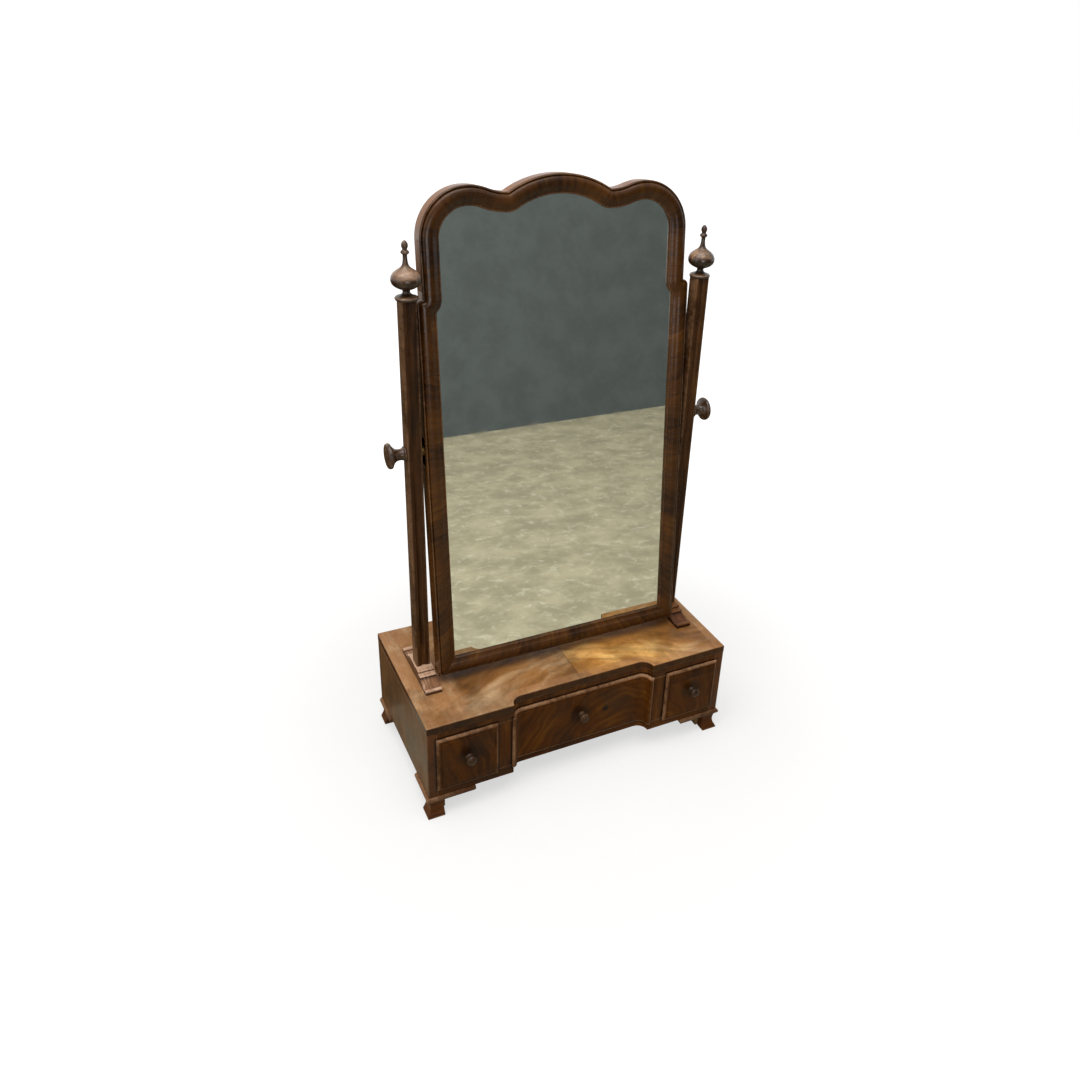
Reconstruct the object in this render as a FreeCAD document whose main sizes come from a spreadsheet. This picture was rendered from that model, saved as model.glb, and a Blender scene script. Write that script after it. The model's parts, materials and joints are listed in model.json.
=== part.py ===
import FreeCAD, Part
import math
import os

import Sketcher

# Dressing table mirror: a shaped glass swings between two uprights over a box of three drawers.
# Millimetres, +Z up, front towards -Y, origin on the floor under the middle of the whole object.

# Driving sizes, each set once. Lengths in millimetres, the tilt in degrees.
SIZES = [
    # Drawer box
    ("box_width", 440),
    ("box_depth", 219),
    ("box_height", 114),
    ("top_thickness", 12),
    ("bottom_thickness", 13),
    ("end_thickness", 14),
    ("back_thickness", 7),
    ("partition_thickness", 10),
    ("rail_height", 11),
    ("front_frame_depth", 27),
    ("side_opening_width", 78),
    ("stile_width", 25),
    ("recess_depth", 15),
    ("guide_height", 10),
    # Bracket feet
    ("foot_height", 34),
    ("foot_thickness", 12),
    ("foot_leg_width", 20.5),
    ("foot_wing_length", 63),
    ("foot_side_wing_length", 52),
    ("foot_wing_height", 9),
    ("foot_wing_nose", 6),
    ("foot_knee_radius", 3),
    ("foot_moulding_height", 7),
    ("foot_moulding_projection", 3),
    ("foot_cove_depth", 2.5),
    ("foot_toe_projection", 2.4),
    ("foot_back_length", 34),
    ("foot_block_side", 13),
    ("foot_block_lift", 1.5),
    # Drawers
    ("lip_overlap", 2.5),
    ("lip_thickness", 4.2),
    ("lip_round", 3.4),
    ("lip_gap", 0.3),
    ("field_inset", 6.5),
    ("field_rise", 0.7),
    ("drawer_side_gap", 0.5),
    ("drawer_run_gap", 0.3),
    ("drawer_top_gap", 1.2),
    ("drawer_front_thickness", 12),
    ("drawer_wall", 6),
    ("drawer_wall_drop", 6),
    ("drawer_bottom_thickness", 4),
    ("drawer_back_gap", 8),
    ("drawer_knob_radius", 7),
    ("drawer_knob_length", 14),
    ("drawer_knob_stem_radius", 2.8),
    ("drawer_knob_rise", 5),
    # Shoes, uprights and finials
    ("shoe_width", 22),
    ("shoe_half_length", 52),
    ("shoe_height", 16),
    ("shoe_seat_margin", 1),
    ("upright_width", 18),
    ("upright_length", 487.5),
    ("upright_inset", 30.5),
    ("upright_setback", 113),
    ("flute_width", 7),
    ("flute_radius", 4.5),
    ("tenon_width", 10),
    ("finial_radius", 16.6),
    ("finial_height", 64.5),
    ("dowel_radius", 4),
    ("dowel_length", 14),
    ("wood_fit", 0.05),
    # Swing pivots
    ("pivot_above_box", 320.5),
    ("mirror_tilt", 5),
    ("screw_radius", 3),
    ("screw_fit", 0.06),
    ("screw_grip", 9),
    ("screw_tip_gap", 1),
    ("pivot_knob_radius", 15.5),
    ("pivot_knob_length", 23.5),
    ("pivot_knob_bore", 12),
    ("pivot_knob_gap", 0.3),
    ("nut_plate_length", 34),
    ("nut_plate_width", 13),
    ("nut_plate_thickness", 2.5),
    ("nut_boss_radius", 6),
    ("nut_boss_gap", 0.4),
    # Mirror frame and glass
    ("frame_clearance", 1.9),
    ("finial_clearance", 3.3),
    ("frame_floor_gap", 11),
    ("frame_overtop", 127),
    ("frame_step_drop", 3.5),
    ("arch_half_share", 0.58),
    ("arch_rise", 18.5),
    ("corner_radius", 57.5),
    ("shoulder_rise", 8.5),
    ("moulding_width", 22.5),
    ("bead_width", 3),
    ("bead_drop", 3),
    ("slope_width", 7),
    ("face_height", 7.5),
    ("sight_edge", 2),
    ("frame_back_depth", 15),
    ("pivot_behind_sight", 6.2),
    ("rebate_width", 6),
    ("glass_gap", 0.4),
    ("glass_thickness", 4),
    ("glass_block_length", 24),
    ("glass_block_width", 5),
    ("backboard_thickness", 5),
    ("backboard_inset", 4),
    ("nail_radius", 0.8),
    ("nail_head_radius", 2.2),
    ("nail_head_thickness", 0.8),
    ("nail_bite", 7),
    # How far every cutting shape runs past what it cuts
    ("overrun", 5),
]

# Places worked out from the sizes.
LAYOUT = [
    ("half_width", "=Sizes.box_width / 2"),
    ("lip_reach", "=Sizes.lip_gap + Sizes.lip_thickness"),
    ("field_reach", "=lip_reach + Sizes.field_rise"),
    ("front_reach", "=field_reach + Sizes.drawer_knob_length"),
    ("front_face", "=(front_reach - Sizes.box_depth) / 2"),
    ("back_face", "=front_face + Sizes.box_depth"),
    ("back_inner", "=back_face - Sizes.back_thickness"),
    ("recess_face", "=front_face + Sizes.recess_depth"),
    ("frame_back", "=front_face + Sizes.front_frame_depth"),
    ("drawer_floor", "=Sizes.foot_height + Sizes.bottom_thickness"),
    ("box_top", "=Sizes.foot_height + Sizes.box_height"),
    ("top_underside", "=box_top - Sizes.top_thickness"),
    ("opening_top", "=top_underside - Sizes.rail_height"),
    ("end_inner", "=half_width - Sizes.end_thickness"),
    ("side_inner", "=end_inner - Sizes.side_opening_width"),
    ("side_centre", "=(end_inner + side_inner) / 2"),
    ("centre_half", "=side_inner - Sizes.stile_width"),
    ("hollow_centre", "=centre_half - Sizes.recess_depth"),
    ("partition_inner", "=side_inner - Sizes.partition_thickness"),
    ("lip_bottom", "=drawer_floor - Sizes.lip_overlap"),
    ("lip_top", "=opening_top + Sizes.lip_overlap"),
    ("drawer_knob_height", "=(lip_bottom + lip_top) / 2 + Sizes.drawer_knob_rise"),
    ("side_lip_half", "=Sizes.side_opening_width / 2 + Sizes.lip_overlap"),
    ("centre_lip_half", "=centre_half + Sizes.lip_overlap"),
    ("side_drawer_half", "=Sizes.side_opening_width / 2 - Sizes.drawer_side_gap"),
    ("centre_drawer_half", "=centre_half - Sizes.drawer_side_gap"),
    ("drawer_base", "=drawer_floor + Sizes.drawer_run_gap"),
    ("drawer_top", "=opening_top - Sizes.drawer_top_gap"),
    ("drawer_wall_top", "=drawer_top - Sizes.drawer_wall_drop"),
    ("drawer_panel_top", "=drawer_base + Sizes.drawer_bottom_thickness"),
    ("drawer_end", "=back_inner - Sizes.drawer_back_gap"),
    ("foot_moulding_base", "=Sizes.foot_height - Sizes.foot_moulding_height"),
    ("foot_wing_base", "=Sizes.foot_height - Sizes.foot_wing_height"),
    ("upright_x", "=half_width - Sizes.upright_inset"),
    ("upright_y", "=front_face + Sizes.upright_setback"),
    ("upright_base", "=box_top + Sizes.shoe_height"),
    ("upright_top", "=upright_base + Sizes.upright_length"),
    ("upright_half", "=Sizes.upright_width / 2"),
    ("shoe_seat", "=upright_half + Sizes.shoe_seat_margin"),
    ("pivot_z", "=box_top + Sizes.pivot_above_box"),
    ("frame_lower_half", "=upright_x - Sizes.shoe_width / 2 - Sizes.frame_clearance"),
    ("frame_upper_half", "=upright_x - Sizes.finial_radius - Sizes.finial_clearance"),
    ("shoulder_half", "=frame_upper_half - Sizes.corner_radius"),
    ("arch_half", "=Sizes.arch_half_share * shoulder_half"),
    ("frame_bottom", "=box_top + Sizes.frame_floor_gap"),
    ("frame_top", "=upright_top + Sizes.frame_overtop"),
    ("frame_step", "=upright_top - Sizes.frame_step_drop"),
    ("sight_plane", "=upright_y - Sizes.pivot_behind_sight"),
    ("frame_front", "=sight_plane - Sizes.face_height"),
    ("bead_front", "=frame_front + Sizes.bead_drop"),
    ("frame_rear", "=sight_plane + Sizes.frame_back_depth"),
    ("rebate_inset", "=Sizes.moulding_width - Sizes.rebate_width"),
    ("upright_inner", "=upright_x - upright_half"),
    ("upright_outer", "=upright_x + upright_half"),
    ("knob_seat", "=upright_outer + Sizes.pivot_knob_gap"),
    ("screw_tip", "=frame_lower_half - Sizes.screw_grip"),
    ("screw_hole", "=Sizes.screw_radius + Sizes.screw_fit"),
]

# Turned profiles, bottom to top: share of the radius, share of the height and, where the run up
# to that point is an arc, the arc's radius as a share of the turning's radius and its sense
# (1 swells outwards, -1 is hollow).
FINIAL_SHARES = [
    (0.72, 0.000),
    (0.78, 0.030),
    (0.70, 0.072, 0.14, 1),
    (0.20, 0.145, 0.55, -1),
    (0.22, 0.185),
    (1.00, 0.355, 0.80, 1),
    (0.50, 0.490, 0.70, 1),
    (0.15, 0.640, 0.90, -1),
    (0.15, 0.770),
    (0.25, 0.805, 0.14, 1),
    (0.15, 0.845, 0.14, 1),
    (0.20, 0.910, 0.24, 1),
    (0.06, 0.975, 0.24, 1),
    (0.00, 1.000),
]
DRAWER_KNOB_SHARES = [
    (0.66, 0.00),
    (0.66, 0.09),
    (0.44, 0.24),
    (0.44, 0.38),
    (1.00, 0.68, 0.75, 1),
    (0.40, 0.97, 0.75, 1),
    (0.00, 1.00),
]
PIVOT_KNOB_SHARES = [
    (0.58, 0.00),
    (0.58, 0.08),
    (0.46, 0.20, 0.40, -1),
    (0.46, 0.40),
    (0.94, 0.74, 0.80, -1),
    (1.00, 0.80),
    (1.00, 0.90),
    (0.94, 0.96),
    (0.50, 1.00),
    (0.00, 1.00),
]
# Shoe from the upright outwards: share of the half length and share of the height.
SHOE_SHARES = [
    (0.37, 0.97),
    (0.39, 0.82),
    (0.52, 0.77),
    (0.54, 0.65),
    (0.70, 0.46),
    (0.88, 0.30),
    (0.90, 0.36),
    (0.95, 0.38),
    (1.00, 0.22),
    (0.98, 0.00),
]
# Where the toe of a foot starts to flare, as a share of the height under its moulding.
FOOT_COVE_SHARES = (0.62, 0.30)
# Nails along the frame's sides as shares of the plain height, along its rails as shares of width.
STILE_NAIL_SHARES = (0.08, 0.50, 0.92)
RAIL_NAIL_SHARES = (-0.45, 0.45)
# Glue blocks behind the glass, as shares of the plain height and of the sight half width.
STILE_BLOCK_SHARES = (0.15, 0.50, 0.85)
RAIL_BLOCK_SHARES = (-0.40, 0.40)

doc = FreeCAD.newDocument("dressing_mirror")
pieces = {}


def make_sheet(name, rows):
    """Spreadsheet with one named cell for each row."""
    sheet = doc.addObject("Spreadsheet::Sheet", name)
    for line, (alias, value) in enumerate(rows, start=1):
        sheet.set(f"A{line}", alias)
        sheet.set(f"B{line}", str(value))
        sheet.setAlias(f"B{line}", alias)
    return sheet


make_sheet("Sizes", SIZES)
layout = make_sheet("Layout", LAYOUT)
doc.recompute()


def number(expression):
    """Value of an expression in the named sizes and places."""
    return float(layout.evalExpression(expression))


def size(alias):
    return number(f"Sizes.{alias}")


def place(alias):
    return number(f"Layout.{alias}")


def keep(piece, label):
    """Register a finished sub-part under the name of its file."""
    piece.Label = label
    pieces[label] = piece
    return piece


def set_place(piece, x, y, z):
    """Bind a sub-part's position to three expressions."""
    for axis, expression in zip("xyz", (x, y, z)):
        piece.setExpression(f"Placement.Base.{axis}", expression)


def turn(piece, axis, degrees):
    """Turn a sub-part about an axis through its own origin."""
    piece.Placement.Rotation = FreeCAD.Rotation(axis, degrees)


def make_box(name, low, high):
    """Box between two corners, each given as three expressions."""
    box = doc.addObject("Part::Box", name)
    for side, start, stop in zip(("Length", "Width", "Height"), low, high):
        box.setExpression(side, f"({stop}) - ({start})")
    set_place(box, *low)
    return box


def board(label, low, high):
    return keep(make_box(label, low, high), label)


def mirrored(label, source):
    """Copy of a sub-part reflected to the other side of the object."""
    copy = doc.addObject("Part::Mirroring", label)
    copy.Source = source
    copy.Normal = FreeCAD.Vector(1, 0, 0)
    return keep(copy, label)


# Sketch helpers: an outline is a list of corners, each an (x, y) pair of expressions. A corner
# with a radius and a sense as well is reached by an arc, 1 anticlockwise and -1 clockwise.
def arc_between(start, stop, radius, sense):
    chord = stop - start
    half = chord.Length / 2
    left = FreeCAD.Vector(-chord.y, chord.x, 0).normalize()
    rise = math.sqrt(max(radius * radius - half * half, 0))
    centre = (start + stop) / 2 + left * (sense * rise)
    first, last = (start, stop) if sense > 0 else (stop, start)
    circle = Part.Circle(centre, FreeCAD.Vector(0, 0, 1), radius)
    angles = [math.atan2(p.y - centre.y, p.x - centre.x) for p in (first, last)]
    return Part.ArcOfCircle(circle, angles[0], angles[1])


def hold(sketch, constraint, expression):
    """Add a dimension to a sketch and bind it to an expression."""
    index = sketch.addConstraint(constraint)
    sketch.setExpression(f"Constraints[{index}]", expression)


def draw_outline(sketch, corners):
    points = [FreeCAD.Vector(number(c[0]), number(c[1]), 0) for c in corners]
    runs = []
    for index, corner in enumerate(corners):
        start, stop = points[index - 1], points[index]
        if len(corner) == 2:
            edge = sketch.addGeometry(Part.LineSegment(start, stop), False)
            runs.append((edge, 1, 2))
            continue
        radius, sense = corner[2:]
        edge = sketch.addGeometry(arc_between(start, stop, number(radius), sense), False)
        runs.append((edge, 1, 2) if sense > 0 else (edge, 2, 1))
        hold(sketch, Sketcher.Constraint("Radius", edge, number(radius)), radius)
    for index, corner in enumerate(corners):
        edge, _, stop = runs[index]
        following, start, _ = runs[(index + 1) % len(runs)]
        sketch.addConstraint(Sketcher.Constraint("Coincident", edge, stop, following, start))
        for kind, expression in zip(("DistanceX", "DistanceY"), corner[:2]):
            hold(sketch, Sketcher.Constraint(kind, edge, stop, number(expression)), expression)


def draw_circle(sketch, x, y, radius):
    middle = FreeCAD.Vector(number(x), number(y), 0)
    ring = Part.Circle(middle, FreeCAD.Vector(0, 0, 1), number(radius))
    edge = sketch.addGeometry(ring, False)
    hold(sketch, Sketcher.Constraint("Radius", edge, number(radius)), radius)
    hold(sketch, Sketcher.Constraint("DistanceX", edge, 3, number(x)), x)
    hold(sketch, Sketcher.Constraint("DistanceY", edge, 3, number(y)), y)


def rectangle(x_low, y_low, x_high, y_high):
    return [(x_low, y_low), (x_high, y_low), (x_high, y_high), (x_low, y_high)]


def new_sketch(body, role, offset="0"):
    """Sketch on one of the body's own origin planes, moved along its normal by an offset."""
    planes = {feature.Role: feature for feature in body.Origin.OriginFeatures}
    sketch = body.newObject("Sketcher::SketchObject", f"{body.Name}_sketch")
    sketch.AttachmentSupport = [(planes[role], "")]
    sketch.MapMode = "FlatFace"
    sketch.setExpression("AttachmentOffset.Base.z", offset)
    return sketch


def pad(body, sketch, length, side="One side", backwards=False):
    feature = body.newObject("PartDesign::Pad", f"{body.Name}_pad")
    feature.Profile = sketch
    feature.setExpression("Length", length)
    feature.SideType = side
    feature.Reversed = backwards
    doc.recompute()
    return feature


def check_cut(body, before):
    doc.recompute()
    if body.Shape.Volume >= before:
        raise RuntimeError(f"{body.Name}: a cut removed nothing")


def pocket_through(body, sketch):
    before = body.Shape.Volume
    feature = body.newObject("PartDesign::Pocket", f"{body.Name}_cut")
    feature.Profile = sketch
    feature.SideType = "Symmetric"
    feature.Type = "ThroughAll"
    check_cut(body, before)


def pocket_down(body, sketch, depth):
    before = body.Shape.Volume
    feature = body.newObject("PartDesign::Pocket", f"{body.Name}_hole")
    feature.Profile = sketch
    feature.Type = "Length"
    feature.setExpression("Length", depth)
    check_cut(body, before)


def round_edges(body, base, wanted, radius):
    """Round those edges of a feature that the test picks."""
    names = [f"Edge{i}" for i, edge in enumerate(base.Shape.Edges, start=1) if wanted(edge)]
    feature = body.newObject("PartDesign::Fillet", f"{body.Name}_round")
    feature.Base = (base, names)
    feature.setExpression("Radius", radius)
    doc.recompute()


def turned(label, corners):
    """Turning about its own Z axis from a closed half profile of (radius, height) corners."""
    body = doc.addObject("PartDesign::Body", label)
    sketch = new_sketch(body, "XZ_Plane")
    draw_outline(sketch, corners)
    feature = body.newObject("PartDesign::Revolution", f"{label}_turning")
    feature.Profile = sketch
    feature.ReferenceAxis = (sketch, ["V_Axis"])
    return keep(body, label)


def scaled_profile(shares, radius, height):
    """Profile corners from a table of shares of a radius and a height."""
    corners = []
    for across, up, *arc in shares:
        corner = (f"{across} * {radius}", f"{up} * {height}")
        if arc:
            corner += (f"{arc[0]} * {radius}", arc[1])
        corners.append(corner)
    return corners


# Drawer box
def recessed_outline(half, back):
    """Plan with a recess in the middle of the front, its ends hollowed to a quarter circle."""
    front, deep = "Layout.front_face", "Layout.recess_face"
    hollow = ("Sizes.recess_depth", -1)
    return [
        (f"-{half}", back),
        (f"-{half}", front),
        ("-Layout.centre_half", front),
        ("-Layout.hollow_centre", deep, *hollow),
        ("Layout.hollow_centre", deep),
        ("Layout.centre_half", front, *hollow),
        (half, front),
        (half, back),
    ]


def recessed_board(label, half, back, base, thickness):
    body = doc.addObject("PartDesign::Body", label)
    sketch = new_sketch(body, "XY_Plane")
    draw_outline(sketch, recessed_outline(half, back))
    pad(body, sketch, thickness)
    set_place(body, "0", "0", base)
    keep(body, label)


def make_box_boards():
    recessed_board("top_board", "Layout.half_width", "Layout.back_face",
                   "Layout.top_underside", "Sizes.top_thickness")
    recessed_board("bottom_board", "Layout.end_inner", "Layout.back_face",
                   "Sizes.foot_height", "Sizes.bottom_thickness")
    recessed_board("top_rail", "Layout.end_inner", "Layout.frame_back",
                   "Layout.opening_top", "Sizes.rail_height")
    board("back_board",
          ("-Layout.end_inner", "Layout.back_inner", "Layout.drawer_floor"),
          ("Layout.end_inner", "Layout.back_face", "Layout.top_underside"))
    left_end = board("left_end_panel",
                     ("-Layout.half_width", "Layout.front_face", "Sizes.foot_height"),
                     ("-Layout.end_inner", "Layout.back_face", "Layout.top_underside"))
    left_stile = board("left_front_stile",
                       ("-Layout.side_inner", "Layout.front_face", "Layout.drawer_floor"),
                       ("-Layout.centre_half", "Layout.frame_back", "Layout.opening_top"))
    left_partition = board("left_partition",
                           ("-Layout.side_inner", "Layout.frame_back", "Layout.drawer_floor"),
                           ("-Layout.partition_inner", "Layout.back_inner", "Layout.top_underside"))
    left_guide = board("left_drawer_guide",
                       ("-Layout.partition_inner", "Layout.frame_back", "Layout.drawer_floor"),
                       ("-Layout.centre_half", "Layout.back_inner",
                        "Layout.drawer_floor + Sizes.guide_height"))
    mirrored("right_end_panel", left_end)
    mirrored("right_front_stile", left_stile)
    mirrored("right_partition", left_partition)
    mirrored("right_drawer_guide", left_guide)


# Bracket feet
def bracket(label, wing_length, mitred):
    """Foot bracket with its corner at the origin, its wing along +X and its face towards -Y.

    The elevation is padded, then everything in front of the moulded profile is cut away.
    """
    corner = "-Sizes.foot_moulding_projection" if mitred else "0"
    body = doc.addObject("PartDesign::Body", label)
    elevation = new_sketch(body, "XZ_Plane", "Sizes.foot_moulding_projection")
    draw_outline(elevation, [
        (corner, "0"),
        ("Sizes.foot_leg_width", "0"),
        ("Sizes.foot_leg_width", "Layout.foot_wing_base - Sizes.foot_knee_radius"),
        ("Sizes.foot_leg_width + Sizes.foot_knee_radius", "Layout.foot_wing_base",
         "Sizes.foot_knee_radius", -1),
        (f"{wing_length} - Sizes.foot_wing_nose", "Layout.foot_wing_base"),
        (wing_length, "Layout.foot_wing_base + Sizes.foot_wing_nose", "Sizes.foot_wing_nose", 1),
        (wing_length, "Sizes.foot_height"),
        (corner, "Sizes.foot_height"),
    ])
    depth = "Sizes.foot_moulding_projection + Sizes.foot_thickness"
    pad(body, elevation, depth, backwards=True)
    face = new_sketch(body, "YZ_Plane")
    outside = "-Sizes.foot_moulding_projection - Sizes.overrun"
    high, low = (f"{share} * Layout.foot_moulding_base" for share in FOOT_COVE_SHARES)
    draw_outline(face, [
        (outside, "-Sizes.overrun"),
        ("-Sizes.foot_toe_projection", "-Sizes.overrun"),
        ("-Sizes.foot_toe_projection", "0"),
        ("Sizes.foot_cove_depth", low),
        ("Sizes.foot_cove_depth", high),
        ("0", "Layout.foot_moulding_base"),
        (outside, "Layout.foot_moulding_base"),
    ])
    pocket_through(body, face)
    ovolo = new_sketch(body, "YZ_Plane")
    shoulder = "Sizes.foot_height - Sizes.foot_moulding_projection"
    draw_outline(ovolo, [
        (outside, shoulder),
        ("-Sizes.foot_moulding_projection", shoulder),
        ("0", "Sizes.foot_height", "Sizes.foot_moulding_projection", -1),
        ("0", "Sizes.foot_height + Sizes.overrun"),
        (outside, "Sizes.foot_height + Sizes.overrun"),
    ])
    pocket_through(body, ovolo)
    if mitred:
        inside = "Sizes.foot_thickness + Sizes.overrun"
        mitre = new_sketch(body, "XY_Plane")
        draw_outline(mitre, [(outside, outside), (inside, inside), (outside, inside)])
        pocket_through(body, mitre)
    return keep(body, label)


def make_feet():
    up = FreeCAD.Vector(0, 0, 1)
    front = bracket("front_left_foot_front", "Sizes.foot_wing_length", True)
    set_place(front, "-Layout.half_width", "Layout.front_face", "0")
    side = bracket("front_right_foot_side", "Sizes.foot_side_wing_length", True)
    turn(side, up, 90)
    set_place(side, "Layout.half_width", "Layout.front_face", "0")
    rear = bracket("back_left_foot_side", "Sizes.foot_side_wing_length", False)
    turn(rear, up, -90)
    set_place(rear, "-Layout.half_width", "Layout.back_face", "0")
    mirrored("front_right_foot_front", front)
    mirrored("front_left_foot_side", side)
    mirrored("back_right_foot_side", rear)
    inner = "-Layout.half_width + Sizes.foot_thickness"
    back = board("back_left_foot_back",
                 (inner, "Layout.back_face - Sizes.foot_thickness", "0"),
                 (f"{inner} + Sizes.foot_back_length", "Layout.back_face", "Sizes.foot_height"))
    mirrored("back_right_foot_back", back)
    block_end = f"{inner} + Sizes.foot_block_side"
    front_start = "Layout.front_face + Sizes.foot_thickness"
    back_stop = "Layout.back_face - Sizes.foot_thickness"
    blocks = [
        make_box("front_foot_block", (inner, front_start, "Sizes.foot_block_lift"),
                 (block_end, f"{front_start} + Sizes.foot_block_side", "Sizes.foot_height")),
        make_box("back_foot_block",
                 (inner, f"{back_stop} - Sizes.foot_block_side", "Sizes.foot_block_lift"),
                 (block_end, back_stop, "Sizes.foot_height")),
    ]
    for block in list(blocks):
        copy = doc.addObject("Part::Mirroring", f"{block.Name}_right")
        copy.Source = block
        copy.Normal = FreeCAD.Vector(1, 0, 0)
        blocks.append(copy)
    group = doc.addObject("Part::Compound", "foot_blocks")
    group.Links = blocks
    keep(group, "foot_blocks")


# Drawers
def drawer_knob_hole(body, recess):
    hole = new_sketch(body, "XZ_Plane", recess)
    radius = "Sizes.drawer_knob_stem_radius + Sizes.wood_fit"
    draw_circle(hole, "0", "Layout.drawer_knob_height", radius)
    pocket_through(body, hole)


def side_drawer_front(label, middle):
    """Square front: a rounded lip outside the opening, a block inside it and a raised field."""
    body = doc.addObject("PartDesign::Body", label)
    lip = new_sketch(body, "XZ_Plane", "Sizes.lip_gap")
    draw_outline(lip, rectangle("-Layout.side_lip_half", "Layout.lip_bottom",
                                "Layout.side_lip_half", "Layout.lip_top"))
    slab = pad(body, lip, "Sizes.lip_thickness")
    front = -place("lip_reach")
    edge_of_front = lambda edge: all(abs(v.Y - front) < size("lip_gap") for v in edge.Vertexes)
    round_edges(body, slab, edge_of_front, "Sizes.lip_round")
    block = new_sketch(body, "XZ_Plane", "Sizes.lip_gap")
    draw_outline(block, rectangle("-Layout.side_drawer_half", "Layout.drawer_base",
                                  "Layout.side_drawer_half", "Layout.drawer_top"))
    pad(body, block, "Sizes.lip_gap + Sizes.drawer_front_thickness", backwards=True)
    raise_field(body, "Layout.side_lip_half", "Layout.lip_reach")
    drawer_knob_hole(body, "0")
    set_place(body, middle, "Layout.front_face", "0")
    keep(body, label)


def raise_field(body, half, offset):
    field = new_sketch(body, "XZ_Plane", offset)
    across = f"{half} - Sizes.field_inset"
    draw_outline(field, rectangle(f"-({across})", "Layout.lip_bottom + Sizes.field_inset",
                                  across, "Layout.lip_top - Sizes.field_inset"))
    pad(body, field, "Sizes.field_rise")


def centre_drawer_front(label):
    """Front that follows the recess and its hollow ends, with a lip over the stiles."""
    far, edge = "Layout.centre_lip_half", "Layout.centre_half"
    hub, deep = "Layout.hollow_centre", "Sizes.recess_depth"
    outer, inner = "Layout.lip_reach", "Sizes.lip_gap"
    outer_hollow, inner_hollow = f"{deep} - {outer}", f"{deep} - {inner}"
    body = doc.addObject("PartDesign::Body", label)
    lip = new_sketch(body, "XY_Plane", "Layout.lip_bottom")
    draw_outline(lip, [
        (f"-{far}", f"-{inner}"),
        (f"-{far}", f"-{outer}"),
        (f"-{edge}", f"-{outer}"),
        (f"{outer} - {edge}", "0", outer, 1),
        (f"-{hub}", outer_hollow, outer_hollow, -1),
        (hub, outer_hollow),
        (f"{edge} - {outer}", "0", outer_hollow, -1),
        (edge, f"-{outer}", outer, 1),
        (far, f"-{outer}"),
        (far, f"-{inner}"),
        (f"{edge} - {inner}", f"-{inner}"),
        (f"{edge} - {inner}", "0"),
        (hub, inner_hollow, inner_hollow, 1),
        (f"-{hub}", inner_hollow),
        (f"{inner} - {edge}", "0", inner_hollow, 1),
        (f"{inner} - {edge}", f"-{inner}"),
    ])
    slab = pad(body, lip, "Layout.lip_top - Layout.lip_bottom")
    round_edges(body, slab, on_curved_lip, "Sizes.lip_round")
    block = new_sketch(body, "XY_Plane", "Layout.drawer_base")
    half = "Layout.centre_drawer_half"
    back = f"{deep} + Sizes.drawer_front_thickness"
    draw_outline(block, [
        (f"-{half}", back),
        (f"-{half}", "0"),
        (f"{outer} - {edge}", "0"),
        (f"-{hub}", outer_hollow, outer_hollow, -1),
        (hub, outer_hollow),
        (f"{edge} - {outer}", "0", outer_hollow, -1),
        (half, "0"),
        (half, back),
    ])
    pad(body, block, "Layout.drawer_top - Layout.drawer_base")
    raise_field(body, hub, f"{outer} - {deep}")
    drawer_knob_hole(body, "0")
    set_place(body, "0", "Layout.front_face", "0")
    keep(body, label)


def on_curved_lip(edge):
    """True for the long front edges, top and bottom, of the centre drawer's lip."""
    if abs(edge.Vertexes[0].Z - edge.Vertexes[-1].Z) > size("lip_gap"):
        return False
    outer = place("lip_reach")
    hollow = size("recess_depth") - outer
    if hasattr(edge.Curve, "Radius"):
        return min(abs(edge.Curve.Radius - r) for r in (outer, hollow)) < size("lip_gap") / 2
    depths = [v.Y for v in edge.Vertexes]
    level = abs(depths[0] - depths[1]) < size("lip_gap") / 2
    return level and min(abs(depths[0] - y) for y in (-outer, hollow)) < size("lip_gap") / 2


def drawer_box(name, middle, half, front):
    """Two sides, a bottom and a back behind a drawer front, with its turned knob in place."""
    inner = f"({half} - Sizes.drawer_wall)"
    start = f"{front} + Sizes.drawer_front_thickness"
    stop = "Layout.drawer_end"
    base, panel, top = "Layout.drawer_base", "Layout.drawer_panel_top", "Layout.drawer_wall_top"
    board(f"{name}_left_side",
          (f"{middle} - {half}", start, base), (f"{middle} - {inner}", stop, top))
    board(f"{name}_right_side",
          (f"{middle} + {inner}", start, base), (f"{middle} + {half}", stop, top))
    board(f"{name}_bottom",
          (f"{middle} - {inner}", start, base), (f"{middle} + {inner}", stop, panel))
    board(f"{name}_back",
          (f"{middle} - {inner}", f"{stop} - Sizes.drawer_wall", panel),
          (f"{middle} + {inner}", stop, top))
    stem = "Sizes.drawer_knob_stem_radius"
    length = "-(Layout.field_reach + Sizes.drawer_front_thickness)"
    head = scaled_profile(DRAWER_KNOB_SHARES, "Sizes.drawer_knob_radius", "Sizes.drawer_knob_length")
    knob = turned(f"{name}_knob", [("0", length), (stem, length), (stem, "0"), *head])
    turn(knob, FreeCAD.Vector(1, 0, 0), 90)
    set_place(knob, middle, f"{front} - Layout.field_reach", "Layout.drawer_knob_height")


def make_drawers():
    sides = {"left_drawer": "-Layout.side_centre", "right_drawer": "Layout.side_centre"}
    for name, middle in sides.items():
        side_drawer_front(f"{name}_front", middle)
        drawer_box(name, middle, "Layout.side_drawer_half", "Layout.front_face")
    centre_drawer_front("centre_drawer_front")
    drawer_box("centre_drawer", "0", "Layout.centre_drawer_half", "Layout.recess_face")


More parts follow.
